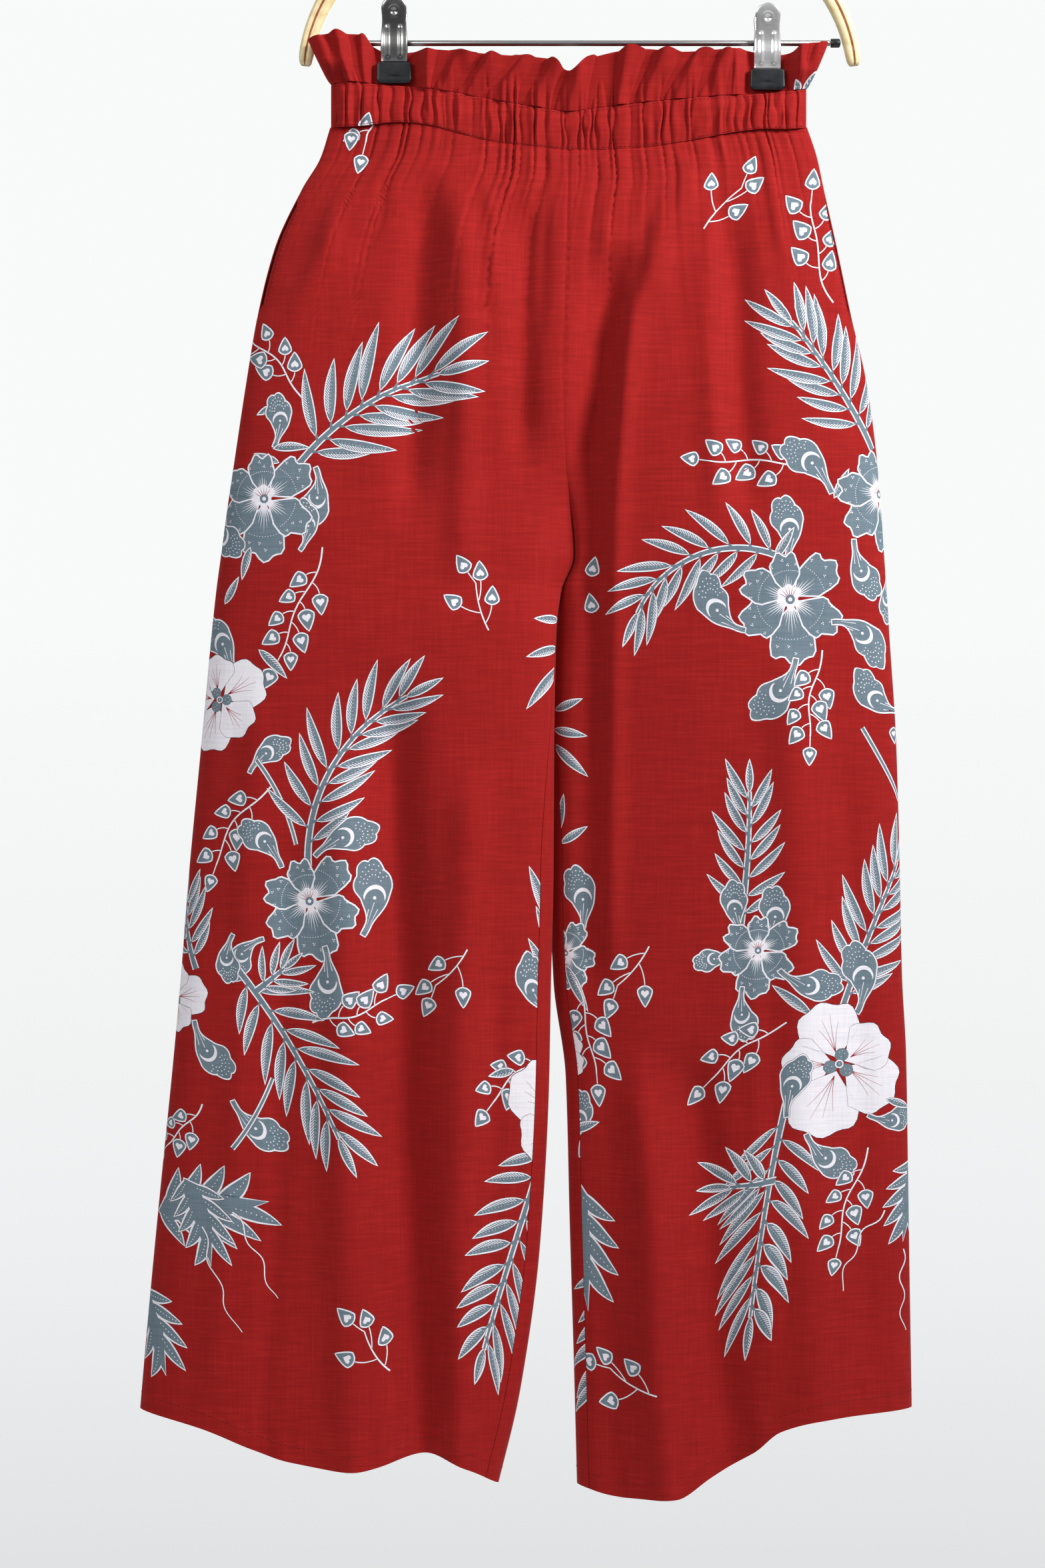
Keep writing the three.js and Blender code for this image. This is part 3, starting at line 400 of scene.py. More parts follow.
def frill_surface(face, t, v):
    """The frill with its folds, fine gathers and wavy top."""
    points = frill_form(face, t, v)
    x = points[..., 0]
    phase = 0 if face == "front" else 2.4
    up = np.maximum(v, 0)
    ends = smooth((1 - np.abs(2 * t - 1)) / 0.1)
    loose = 1 - near_clip(x, CLIP_FLAT, CLIP_FADE)
    count = gather_phase(np.clip(t, 0, 1))
    strength = np.interp(count, GATHER_PLACES, GATHER_SIZE)
    fine = (puff(count) - 0.5) * 2.8 * strength * (1 - smooth(up / 0.7)) * loose
    place = mix(mix(WAIST_LEFT, WAIST_RIGHT, t), x, smooth(up * 1.2))
    lobes = np.zeros(np.shape(x))
    for low, high, width, rise in FRILL_FOLDS[face]:
        gap = (place - mix(low, high, up ** 1.2)) / (width * (0.62 + 0.5 * up))
        gap = np.where(gap < 0, gap * 1.35, gap * 0.85)
        lobes = lobes + rise * bump(gap) * (0.45 + 0.55 * up)
    swell = FRILL_WAVE * 0.45 * np.sin(2 * np.pi * 6.3 * t + phase + 1.3 * np.sin(5 * t + phase)) * up
    soft = 0.5 * np.sin(x / 3.1 + 2.4 * up + 1.5 * np.sin(x / 13)) * (0.4 + 0.6 * up)
    lift = 0.32 * lobes + 0.9 * np.sin(2 * np.pi * 13 * t + phase)
    points[..., 1] += way_out(face) * ((swell + lobes + soft) * loose + fine) * mix(0.25, 1, ends)
    points[..., 2] += lift * up * loose * mix(0.4, 1, ends)
    return points


# Inks of the print, which are also the material places of every printed shell
RED, DARK, WHITE, SLATE = range(4)


def turned(points, angle, base=(0, 0)):
    """Points turned by an angle in degrees about the origin, then moved to base."""
    c, s = math.cos(math.radians(angle)), math.sin(math.radians(angle))
    p = np.asarray(points, float)
    return np.column_stack([p[:, 0] * c - p[:, 1] * s, p[:, 0] * s + p[:, 1] * c]) + base


def grown(points, distance):
    """An outline moved outward by a distance, inward where it is negative."""
    ahead, behind = np.roll(points, -1, axis=0), np.roll(points, 1, axis=0)
    area = np.sum(points[:, 0] * ahead[:, 1] - ahead[:, 0] * points[:, 1])
    run = ahead - behind
    length = np.maximum(np.hypot(run[:, 0], run[:, 1]), 1e-9)[:, None]
    out = np.column_stack([run[:, 1], -run[:, 0]]) / length * (1 if area > 0 else -1)
    return points + out * distance


def layers(make, dark, white, slate=None):
    """A shape's dark edge, light line and slate fill, each made at its own size."""
    sizes = [(DARK, dark), (WHITE, white), (SLATE, slate)]
    return [(ink, make(size)) for ink, size in sizes if size is not None]


def rounded(length, ends):
    """An outline of an upper edge and its mirror, without the doubled end points."""
    return np.concatenate([np.column_stack([length, ends]), np.column_stack([length, -ends])[::-1][1:-1]])


def ribbon(points, wide_start, wide_end):
    """The outline of a tapering line through the points."""
    p = np.asarray(points, float)
    run = np.gradient(p, axis=0)
    side = np.column_stack([-run[:, 1], run[:, 0]]) / np.hypot(run[:, 0], run[:, 1])[:, None]
    half = np.linspace(wide_start, wide_end, len(p))[:, None] / 2
    return np.concatenate([p + side * half, (p - side * half)[::-1]])


def arc_line(angle, length, bend, count=14, base=(0, 0)):
    """Points and headings of a line that turns evenly by bend degrees along its length."""
    heading = angle + bend * np.linspace(0, 1, count)
    middle = np.radians((heading[1:] + heading[:-1]) / 2)
    step = length / (count - 1)
    run = np.column_stack([np.cos(middle), np.sin(middle)]) * step
    return np.concatenate([[base], np.array(base) + np.cumsum(run, axis=0)]), heading


def along(line, heading, i):
    """The place and heading at a fractional index of a line."""
    index = range(len(line))
    return np.array([np.interp(i, index, line[:, n]) for n in (0, 1)]), np.interp(i, index, heading)


def dot(x, y, radius, sides=5):
    """A small round, as a polygon."""
    turn = np.linspace(0, 2 * np.pi, sides, endpoint=False)
    return np.column_stack([x + radius * np.cos(turn), y + radius * np.sin(turn)])


def bent(points, bend, length):
    """Points along +x bent into an arc."""
    p = np.asarray(points, float)
    turn = np.radians(bend) * np.clip(p[:, 0] / length, 0, 1) / 2
    radius = p[:, 0]
    x = radius * np.cos(turn) - p[:, 1] * np.sin(2 * turn)
    y = radius * np.sin(turn) + p[:, 1] * np.cos(2 * turn)
    return np.column_stack([x, y])


def lens(length, width):
    """A pointed oval outline along +x, fullest near its foot."""
    t = np.linspace(0, 1, 11)
    return rounded(t * length, width / 2 * np.sin(np.pi * t ** 0.82) ** 0.85)


def leaf_shape(length, width, bend=0, side=1):
    """A lens leaf: one half hatched, the other plain, and a dotted line along its middle."""
    def shape(more):
        return bent(lens(length + 1.6 * more, width + more) - (more * 0.6, 0), bend, length)

    made = layers(shape, 2.3, 1.8, 0)
    for t in np.linspace(0.14, 0.84, max(int(length / 2.5), 3)):
        half = width / 2 * math.sin(math.pi * t ** 0.82) ** 0.85
        if half < 0.9:
            continue
        x, slant = t * length, 1.1 * half
        hatch = [(x - 0.4, side * 0.5), (x + 0.5, side * 0.5),
                 (x + slant + 0.3, side * half), (x + slant - 0.5, side * half)]
        made.append((WHITE, bent(hatch, bend, length)))
    for t in np.linspace(0.12, 0.86, max(int(length / 3.2), 3)):
        made.append((WHITE, bent(dot(t * length, -side * 0.55, 0.32, 4), bend, length)))
    return made


def placed(shapes, angle, base):
    return [(ink, turned(points, angle, base)) for ink, points in shapes]


def frond(length, bend, pairs, leaf_length):
    """A stem with leaves in pairs that spread at its foot and close towards its tip."""
    line, heading = arc_line(0, max(length - 0.6 * leaf_length, 0.5 * length), bend, 30)
    made, nodes = [], []
    for k in range(pairs):
        t = 0.1 + 0.86 * (k + 0.5) / pairs
        size = leaf_length * (0.8 + 0.4 * math.sin(math.pi * (0.1 + 0.74 * t)))
        for way in (1, -1):
            base, ahead = along(line, heading, min(t + (0.035 if way > 0 else -0.03), 0.98) * 29)
            turn = ahead + way * (mix(64, 30, t) + 5 * math.sin(2.3 * k + way))
            size_here = size * (1 + 0.08 * math.sin(1.9 * k + 2.2 * way))
            foot = base + 0.11 * size * np.array([math.cos(math.radians(turn)), math.sin(math.radians(turn))])
            made += placed(leaf_shape(size_here * 0.9, size * 0.12 + 0.9, -way * 16, way), turn, foot)
            far = 0.13 * leaf_length
            node = [(-1, -1.4), (far, -0.6), (far, 0.6), (-1, 1.4)]
            nodes.append((SLATE, turned(node, ahead + way * mix(60, 28, t), base)))
    made += placed(leaf_shape(leaf_length * 0.75, leaf_length * 0.12 + 0.6, 0), heading[-1], line[-1])
    made += layers(lambda more: ribbon(line, 3.8 + more, 1.3 + more), 2.3, 1.8, 0)
    return made + nodes


def petal(radius, half_angle, wave, turn, fall=0.2, count=17):
    """A petal from the flower's heart with a wavy, unevenly rounded rim."""
    u = np.linspace(-1, 1, count)
    ragged = wave * np.cos(3.4 * np.pi * u + 2.1 * turn) + 0.5 * wave * np.sin(6.1 * u + turn)
    rim = 1 - fall * np.abs(u) ** 2.6 + ragged
    a = u * math.radians(half_angle)
    edge = np.column_stack([radius * rim * np.cos(a), radius * rim * np.sin(a)])
    return np.concatenate([[(radius * 0.1, 0)], edge])


def rays(ink, turns, near, far, half):
    """Thin pointed rays, from near to a share of far, one for each row of (turn, share)."""
    return [(ink, turned([(near, -half), (share * far, 0), (near, half)], turn)) for turn, share in turns]


# Each petal's heading, size and half angle, and its rays' angles and reach
FLOWER_PETALS = (
    (262, 1.16, 36), (318, 1.0, 34), (200, 0.98, 35), (28, 1.04, 33), (145, 0.92, 33), (88, 0.84, 30),
)
FLOWER_RAYS = (
    (-0.36, 0.34), (-0.24, 0.44), (-0.12, 0.52), (0, 0.58), (0.12, 0.5), (0.24, 0.43), (0.36, 0.36),
)


def flower(radius):
    """Six wavy dark petals of uneven size, dotted, round a light heart with fine red veins."""
    made = []
    petals = [(turn, radius * size, petal(radius * size, half, 0.055, k, 0.46))
              for k, (turn, size, half) in enumerate(FLOWER_PETALS)]
    for turn, _, shape in petals:
        made.append((DARK, turned(grown(shape, 1.1), turn)))
    for turn, reach, shape in petals:
        made.append((WHITE, turned(grown(shape, 0.8), turn)))
        made.append((SLATE, turned(grown(shape, -0.35), turn)))
    for turn, reach, _ in petals:
        ring = [(0.63, a, 0, 0, 0.38) for a in np.linspace(-0.42, 0.42, 12)]
        spots = [(r, a, x, y, 0.5) for a, r in ((-0.36, 0.76), (0.02, 0.84), (0.36, 0.77), (-0.12, 0.73))
                 for x, y in ((0, 0), (1.3, 0.3), (0.5, 1.2))]
        for r, a, x, y, size in ring + spots:
            spot = dot(r * reach * math.cos(a) + x, r * reach * math.sin(a) + y, size, 4)
            made.append((WHITE, turned(spot, turn)))
        turns = [(turn + math.degrees(a), far) for a, far in FLOWER_RAYS]
        made += rays(WHITE, turns, 0.14 * radius, reach, 0.5)
    patch = petal(0.36 * radius, 62, 0.06, 1, 0.3)
    made += [(WHITE, turned(patch - (0.1 * radius, 0), 100)), (WHITE, dot(0, 0, 0.15 * radius, 12))]
    made += rays(RED, [(turn, 1) for turn in (48, 66, 84, 102, 120, 140)], 0.06 * radius, 0.27 * radius, 0.3)
    return made + [(SLATE, dot(0, 0, 0.09 * radius, 9)), (WHITE, dot(0, 0, 0.04 * radius, 7))]


def bloom(radius):
    """A large light flower with red veins and a dark spotted heart."""
    shapes = [(k * 72 + 7 * math.sin(3 * k), petal(radius * size, 44, 0.03, k, 0.3, 19), size)
              for k, size in enumerate((1.0, 0.86, 1.18, 1.02, 0.84))]
    made = [(DARK, turned(grown(shape, 0.35), turn)) for turn, shape, _ in shapes]
    for turn, shape, _ in shapes:
        made += placed(layers(lambda more: grown(shape, more), 0.12, -0.12), turn, (0, 0))
    for turn, _, size in shapes:
        for a, far in ((-22, 0.7), (-8, 0.82), (7, 0.76), (21, 0.66)):
            line, _ = arc_line(a * 0.6, radius * size * far - 0.2 * radius, a * 0.7, 7, (0.2 * radius, 0))
            made.append((RED, turned(ribbon(line, 0.5, 0.16), turn)))
    for turn in (90, 210, 330):
        made.append((SLATE, turned(dot(0.15 * radius, 0, 0.11 * radius, 10), turn)))
        for x, y in ((0.12, 0), (0.18, 0.04), (0.18, -0.04), (0.22, 0)):
            made.append((WHITE, turned(dot(x * radius, y * radius, 0.34), turn)))
    heart_dots = ((WHITE, 0.07 * radius, 8), (SLATE, 0.05 * radius, 8), (WHITE, 0.4, 5))
    return made + [(ink, dot(0, 0, size, sides)) for ink, size, sides in heart_dots]


def bud(length, bend):
    """A curled petal: a narrow streaked neck that opens to a scalloped, dotted fan."""
    bend = 1.15 * bend + math.copysign(34, bend)
    neck = np.linspace(0, 0.5, 10)
    half = length * (0.035 + 0.15 * smooth((neck - 0.16) / 0.4))
    fan = np.linspace(-1.65, 1.65, 31)
    lobes = 0.215 * length * (1 + 0.17 * np.abs(np.sin(3.3 * fan)) + 0.09 * np.sin(1.4 * fan))
    shape = np.concatenate([
        np.column_stack([neck * length, -half]),
        np.column_stack([0.66 * length + 1.5 * lobes * np.cos(fan), lobes * np.sin(fan)]),
        np.column_stack([neck * length, half])[::-1],
    ])
    made = layers(lambda more: grown(shape, more), 1.1, 0.85, -0.1)
    turn = np.linspace(-1.7, 1.7, 15)
    wide = 0.15 * length
    outer = np.column_stack([0.54 * length + wide * np.cos(turn), wide * np.sin(turn)])
    inner = np.column_stack([0.5 * length + 0.9 * wide * np.cos(turn), 0.88 * wide * np.sin(turn)])
    made.append((WHITE, np.concatenate([outer, inner[::-1]])))
    for y, far in ((-0.05, 0.38), (0, 0.46), (0.05, 0.36)):
        end, x = 1.2 * y * length, far * length
        made.append((WHITE, [(0.05 * length, 0.3 * y * length), (x, end - 0.28), (x, end + 0.28)]))
    made.append((WHITE, dot(0.52 * length, 0, 0.024 * length, 6)))
    for k, (r, count) in enumerate(((0.1, 7), (0.145, 8), (0.19, 9))):
        for a in np.linspace(-1.25, 1.25, count) + 0.08 * (k % 2):
            x, y = 0.68 * length + 1.4 * r * length * math.cos(a), r * length * math.sin(a)
            made.append((WHITE, dot(x, y, 0.5, 4)))
    return [(ink, bent(points, bend, length)) for ink, points in made]


def heart(size):
    """A pointed heart leaf with a light heart inside."""
    t = np.concatenate([np.linspace(0, 0.12, 4), np.linspace(0.2, 1, 9)])
    taper = 1 - np.clip((t - 0.26) / 0.74, 0, 1) ** 1.4
    half = 0.37 * size * np.sqrt(np.clip(t / 0.2, 0, 1)) * np.clip(taper, 0, 1)
    shape = rounded(t * size, half)
    a = np.linspace(0, 2 * np.pi, 14, endpoint=False)
    across = 16 * np.sin(a) ** 3
    lengthwise = 13 * np.cos(a) - 5 * np.cos(2 * a) - 2 * np.cos(3 * a) - np.cos(4 * a)
    scale = 0.0142 * size
    inner = np.column_stack([0.36 * size - lengthwise * scale, across * scale])
    return layers(lambda more: grown(shape, more), 1.15, 0.85, -0.1) + [(WHITE, inner)]


def hung_heart(base, turn, length, bend, size):
    """A thin stalk from a place on a stem, and the heart leaf at its end."""
    stalk, out = arc_line(turn, length, bend, 7, base)
    return layers(lambda wide: ribbon(stalk, wide, wide), 1.1, 0.75), placed(heart(size), out[-1], stalk[-1])


def sprig(length, bend, hearts, size):
    """A thin curving stalk with hanging heart leaves on both sides and one at its tip."""
    size = 1.32 * size
    line, heading = arc_line(0, length, bend, 22)
    sway = 0.028 * length * np.sin(np.linspace(0, 2.6 * np.pi, 22))
    line = line + np.column_stack([np.zeros(22), sway])
    made, tops = layers(lambda wide: ribbon(line, wide + 0.2, wide), 1.4, 1.0), []
    for k in range(hearts):
        last = k == hearts - 1
        way = 0 if last else (1 if k % 2 else -1)
        base, ahead = along(line, heading, 21 if last else 21 * (0.16 + 0.84 * (k + 0.6) / hearts))
        stalk, top = hung_heart(base, ahead + way * 78, size * (0.66 + 0.12 * math.sin(1.7 * k)),
                                -way * (44 + 8 * math.sin(2.1 * k)), size * (0.94 + 0.12 * math.sin(2.6 * k)))
        made += stalk
        tops += top
    return made + tops


def trio(length):
    """A short curved stalk with four heart leaves that spread from it."""
    line, _ = arc_line(0, length, -26, 14)
    made, tops = [], []
    for k, (i, turn, far) in enumerate(((2, -62, 0.42), (5, 58, 0.46), (8, -46, 0.46), (13, 12, 0.3))):
        size = 13 * (1 + 0.07 * math.sin(3 * k + length))
        stalk, top = hung_heart(line[i], turn, far * length, -0.5 * turn, size)
        made += stalk
        tops += top
    return made + layers(lambda wide: ribbon(line, wide + 0.2, wide), 1.2, 0.85) + tops


def stem(length, bend):
    """A bare slate stalk."""
    line, _ = arc_line(0, length, bend, 16)
    return layers(lambda more: ribbon(line, 2.0 + more, 1.6 + more), 2.2, 1.6, 0)


def feather(length, bend):
    """A broad leaf cut into curved points, with a dotted line along each."""
    made, tips = [], []
    for k in range(9):
        t, way = k / 8, 1 if k % 2 else -1
        base = (length * mix(0.02, 0.6, t), 0.06 * length * math.sin(3 * t) * way)
        tips.append((base, way * mix(46, 9, t), way * 30, length * mix(0.34, 0.42, t)))
    body = length * np.array([(0, -0.02), (0.12, -0.1), (0.5, -0.1), (0.95, 0), (0.5, 0.1), (0.12, 0.1)])
    for ink, more in ((DARK, 1.5), (WHITE, 1.2), (SLATE, -0.1)):
        made.append((ink, grown(body, more)))
        for base, turn, curl, size in tips:
            shape = bent(lens(size + 2 * more, size * 0.26 + 2 * more) - (more, 0), curl, size)
            made.append((ink, turned(shape, turn, base)))
    for base, turn, curl, size in tips:
        for t in np.linspace(0.2, 0.85, 8):
            made.append((WHITE, turned(bent(dot(t * size, 0, 0.5, 4), curl, size), turn, base)))
    return [(ink, bent(points, bend, length)) for ink, points in made]


def tendril(length, bend):
    """A thin light line with two waves."""
    t = np.linspace(0, 1, 26)
    line, _ = arc_line(0, length, bend, 26)
    line = line + np.column_stack([0 * t, 2.6 * np.sin(4.4 * np.pi * t)])
    return layers(lambda wide: ribbon(line, wide + 0.3, wide - 0.2), 1.35, 0.85)


def leaf(length, bend):
    """A single leaf of the print, as wide as its length asks for."""
    return leaf_shape(length, 2.4 + 0.11 * length, bend)


# Where each motif of the print lies on the front: its function, x, height, heading, then its sizes
PRINT_LEFT = [
    (sprig, -147, -258, 232, 15, 24, 2, 9.5), (heart, -163, -265, 262, 12.5),
    (sprig, -198, -456, 118, 59, 30, 7, 10.5), (leaf, -215, -502, 160, 18, 0),
    (leaf, -219, -462, 205, 12, 0), (frond, -202, -506, 52, 152, -38, 8, 47),
    (bud, -218, -491, 62, 37, 20), (leaf, -218, -492, 10, 25, -20), (bud, -188, -506, -66, 42, -40),
    (bud, -199, -565, 50, 35, 42), (flower, -225, -528, 8, 37), (bud, -265, -534, -70, 44, 15),
    (bud, -247, -654, 95, 47, 25), (leaf, -235, -563, 250, 22, 10),
    (sprig, -183, -563, -108, 84, -10, 9, 10.5), (leaf, -228, -636, -40, 27, -10),
    (leaf, -253, -602, 60, 20, 0), (bloom, -257, -671, 30, 37), (bud, -235, -723, 65, 35, -25),
    (sprig, -218, -731, 215, 72, 35, 8, 10.5), (stem, -230, -714, -52, 67, -25),
    (frond, -193, -790, 93, 170, -66, 9, 37), (bud, -212, -790, 112, 42, 10),
    (bud, -188, -782, 48, 46, -20), (bud, -154, -838, 58, 52, 20), (flower, -192, -814, 20, 35),
    (bud, -225, -841, 195, 37, 40), (bud, -181, -846, -72, 47, -15),
    (sprig, -190, -900, 8, 55, 14, 7, 10), (frond, -274, -863, 112, 73, -20, 5, 28),
    (bloom, -289, -884, 10, 31), (frond, -247, -858, -50, 163, -14, 8, 37),
    (frond, -230, -878, 40, 39, 0, 3, 22), (bud, -275, -900, -80, 46, 20), (bud, -247, -956, -62, 46, 25),
    (bud, -247, -838, 240, 34, 20), (sprig, -269, -959, -120, 45, -20, 6, 9.5),
    (stem, -247, -990, 55, 62, 15), (feather, -301, -1035, 12, 93, 10),
    (feather, -281, -1012, -58, 67, -30), (tendril, -269, -1046, -78, 73, 20),
    (tendril, -247, -1035, -50, 62, -20), (feather, -314, -1091, -52, 70, -30),
    (trio, -65, -622, 118, 35), (trio, -80, -848, -118, 35), (trio, -135, -1147, 132, 37),
    (frond, -17, -912, 86, 98, 0, 4, 32), (leaf, -16, -614, 178, 20, 0), (leaf, -16, -634, 190, 26, 8),
    (leaf, -14, -647, 222, 40, 12), (leaf, -22, -827, 112, 38, 0), (leaf, -16, -810, 100, 34, 0),
    (bud, -19, -894, 160, 40, -55), (leaf, -16, -900, 80, 39, 5), (sprig, -22, -922, 205, 54, 30, 6, 9.5),
    (leaf, -48, -934, 200, 17, 0), (frond, -18, -973, -112, 186, 8, 9, 35), (bloom, -10, -966, 150, 44),
    (bud, -28, -1024, -70, 31, 20),
]
PRINT_RIGHT = [
    (trio, 88, -336, 58, 39), (sprig, 181, -387, 118, 76, -34, 7, 11.0),
    (frond, 209, -492, 118, 132, 12, 8, 38), (sprig, 170, -501, 186, 79, -14, 8, 10.5),
    (bud, 179, -524, 112, 49, 10), (leaf, 181, -527, 62, 22, 0), (flower, 214, -524, 28, 37),
    (bud, 195, -557, -88, 44, 10), (bud, 219, -579, 250, 37, 0), (frond, 150, -574, 150, 150, 96, 8, 33),
    (bud, 146, -574, 72, 46, 10), (leaf, 138, -571, 58, 25, 0), (flower, 149, -600, 12, 39),
    (bud, 117, -622, 170, 47, -55), (bud, 179, -616, 8, 46, -60), (bud, 153, -642, -100, 49, -25),
    (sprig, 172, -636, -108, 62, 16, 8, 10.5), (bud, 226, -678, 190, 43, -60),
    (stem, 201, -691, -58, 61, 0), (heart, 224, -691, -80, 11), (frond, 113, -837, 82, 118, 8, 7, 29),
    (frond, 185, -894, 72, 143, -8, 8, 37), (bud, 132, -846, 62, 42, 10), (bud, 115, -838, 118, 37, -10),
    (bud, 110, -856, 165, 29, 0), (flower, 126, -849, 0, 28), (bud, 141, -863, -48, 46, 30),
    (bud, 115, -875, -100, 37, 0), (sprig, 146, -900, 200, 62, 20, 7, 10.5), (bud, 197, -894, 62, 52, 30),
    (leaf, 163, -894, 140, 34, 0), (bloom, 184, -930, 106, 48), (frond, 146, -956, -103, 169, 6, 9, 37),
    (frond, 138, -1012, 160, 51, 10, 3, 30), (bud, 146, -967, 92, 44, -10), (bud, 160, -979, -70, 47, 20),
    (bud, 205, -967, -30, 37, 20), (leaf, 219, -956, -20, 22, 0),
    (sprig, 205, -990, -112, 79, 8, 8, 10.5), (feather, 239, -1001, -108, 67, 10),
    (tendril, 217, -1035, -140, 67, 40), (tendril, 231, -1063, -95, 62, 10), (trio, 49, -846, -118, 35),
    (trio, 54, -1164, 168, 37), (heart, 8, -582, 78, 13), (heart, 9, -608, 100, 13),
    (leaf, -17, -678, 20, 22, 0), (leaf, -18, -692, -10, 26, 0), (leaf, -18, -703, -40, 34, 0),
    (leaf, -16, -765, 80, 26, 0), (leaf, -13, -773, 30, 22, 0), (bud, 1, -838, 72, 46, 20),
    (flower, -10, -852, 30, 22), (leaf, -10, -861, -60, 33, 0), (sprig, -3, -872, -70, 62, -14, 7, 10.5),
    (bloom, -13, -928, 60, 20), (bud, -7, -990, 60, 37, 0), (leaf, -7, -979, 20, 22, 0),
    (feather, -4, -1012, -88, 90, 10),
]
PRINT_CASING = [(heart, -154, -263, 74, 12)]
PRINT_FRILL = [(leaf, 161, -235, 84, 12, 0), (leaf, 157, -236, 120, 8, 0)]


def mirrored(rows, centre, lower):
    """The same motifs turned over left to right about a line and moved down."""
    made = []
    for motif, x, z, angle, size, *more in rows:
        bend = [-more[0]] if more else []
        made.append((motif, 2 * centre - x, z - lower, 180 - angle, size, *bend, *more[1:]))
    return made


def leg_chart(side, face):
    """Looks up the place on a leg panel for a length across it, from its middle line, and a drop."""
    drops = np.arange(256, 1215, CHART_DROP)
    s = np.linspace(0, 1, CHART_COLUMNS)
    grid_s, grid_d = np.meshgrid(s, drops)
    used = grid_s * (1 - pocket_stop(side, grid_d)) if face == "front" else grid_s
    points = leg_form(side, face, used, grid_d)
    steps = np.hypot(*np.moveaxis(np.diff(points[..., :2], axis=1), -1, 0))
    length = np.concatenate([np.zeros((len(drops), 1)), np.cumsum(steps, axis=1)], axis=1)
    way, middle = (-1, -140) if side == "left" else (1, 110)
    p = np.arange(-240, 241, CHART_ACROSS)
    table = np.empty((len(drops), len(p)))
    for j in range(len(drops)):
        zero = np.interp(middle * way, points[j, :, 0] * way, length[j])
        at = (length[j] - zero) * way
        order = np.argsort(at)
        slope = way / length[j, -1]
        first, last = order[0], order[-1]
        inside = np.interp(p, at[order], s[order])
        inside = np.where(p < at[first], s[first] + (p - at[first]) * slope, inside)
        table[j] = np.where(p > at[last], s[last] + (p - at[last]) * slope, inside)
    return drops, p, table, points, length, way, middle


def leg_print(side, face, rows):
    """The leg's print as outlines in (s, drop), in the order in which they are laid on."""
    drops, p, table, points, length, way, middle = leg_chart(side, face)
    s = np.linspace(0, 1, CHART_COLUMNS)
    made = []
    for motif, x, z, angle, *sizes in rows:
        drop = -z
        for _ in range(6):
            j = int(np.clip(np.searchsorted(drops, drop) - 1, 0, len(drops) - 1))
            at_x = points[j, :, 0] * way
            place = np.interp(np.clip(x * way, at_x[0], at_x[-1]), at_x, s)
            drop += -z + np.interp(place, s, points[j, :, 2]) + (drops[j] - drop)
        zero = np.interp(middle * way, at_x, length[j])
        across = (np.interp(place, s, length[j]) - zero) * way
        if x * way > at_x[-1]:
            across = (length[j, -1] - zero) * way + (x - at_x[-1] * way)
        if x * way < at_x[0]:
            across = -zero * way + (x - at_x[0] * way)
        for ink, shape in motif(*sizes):
            local = turned(shape, angle)
            u, v = across + local[:, 0], drop - local[:, 1]
            row = np.clip((v - drops[0]) / CHART_DROP, 0, len(drops) - 1.001)
            col = np.clip((u - p[0]) / CHART_ACROSS, 0, len(p) - 1.001)
            a, b = row.astype(int), col.astype(int)
            above, below = (mix(table[n, b], table[n, b + 1], col - b) for n in (a, a + 1))
            made.append((ink, np.column_stack([mix(above, below, row - a), v])))
    return made


def clipped(a, b, sides):
    """The parts of the segments a-b that lie in a rectangle; sides gives (axis, least, most)."""
    way = b - a
    start, stop = np.zeros(len(a)), np.ones(len(a))
    for axis, least, most in sides:
        with np.errstate(divide="ignore", invalid="ignore"):
            t = np.stack([(limit - a[:, axis]) / way[:, axis] for limit in (least, most)])
        level = np.abs(way[:, axis]) < 1e-9
        t[:, level] = np.array([[-1.0], [2.0]])
        start, stop = np.maximum(start, t.min(axis=0)), np.minimum(stop, t.max(axis=0))
        stop[level & ((a[:, axis] < least) | (a[:, axis] > most))] = -1
    keep = stop - start > 1e-3
    return [snapped(a[keep] + way[keep] * k[keep][:, None], sides, 0.06) for k in (start, stop)]


def snapped(points, sides, reach):
    """The points, with those near a rectangle's side set on it."""
    for axis, least, most in sides:
        for limit in (least, most):
            points[np.abs(points[:, axis] - limit) < reach, axis] = limit
    return points


def inks_at(places, shapes):
    """The topmost ink at each place."""
    ink = np.zeros(len(places), int)
    order = np.argsort(places[:, 1])
    sorted_v = places[order, 1]
    for colour, shape in shapes:
        first, last = np.searchsorted(sorted_v, (shape[:, 1].min(), shape[:, 1].max()))
        near = order[first:last]
        u = places[near, 0]
        near = near[(u > shape[:, 0].min()) & (u < shape[:, 0].max())]
        if not len(near):
            continue
        x, y = places[near, 0][:, None], places[near, 1][:, None]
        x0, y0 = shape[:, 0], shape[:, 1]
        x1, y1 = np.roll(x0, -1), np.roll(y0, -1)
        spans = (y0 > y) != (y1 > y)
        rise = np.where(y1 == y0, 1, y1 - y0)
        crossings = spans & (x < (x1 - x0) * (y - y0) / rise + x0)
        ink[near[crossings.sum(axis=1) % 2 == 1]] = colour
    return ink


def linked(name, data):
    """A new object in the scene."""
    thing = bpy.data.objects.new(name, data)
    bpy.context.collection.objects.link(thing)
    return thing


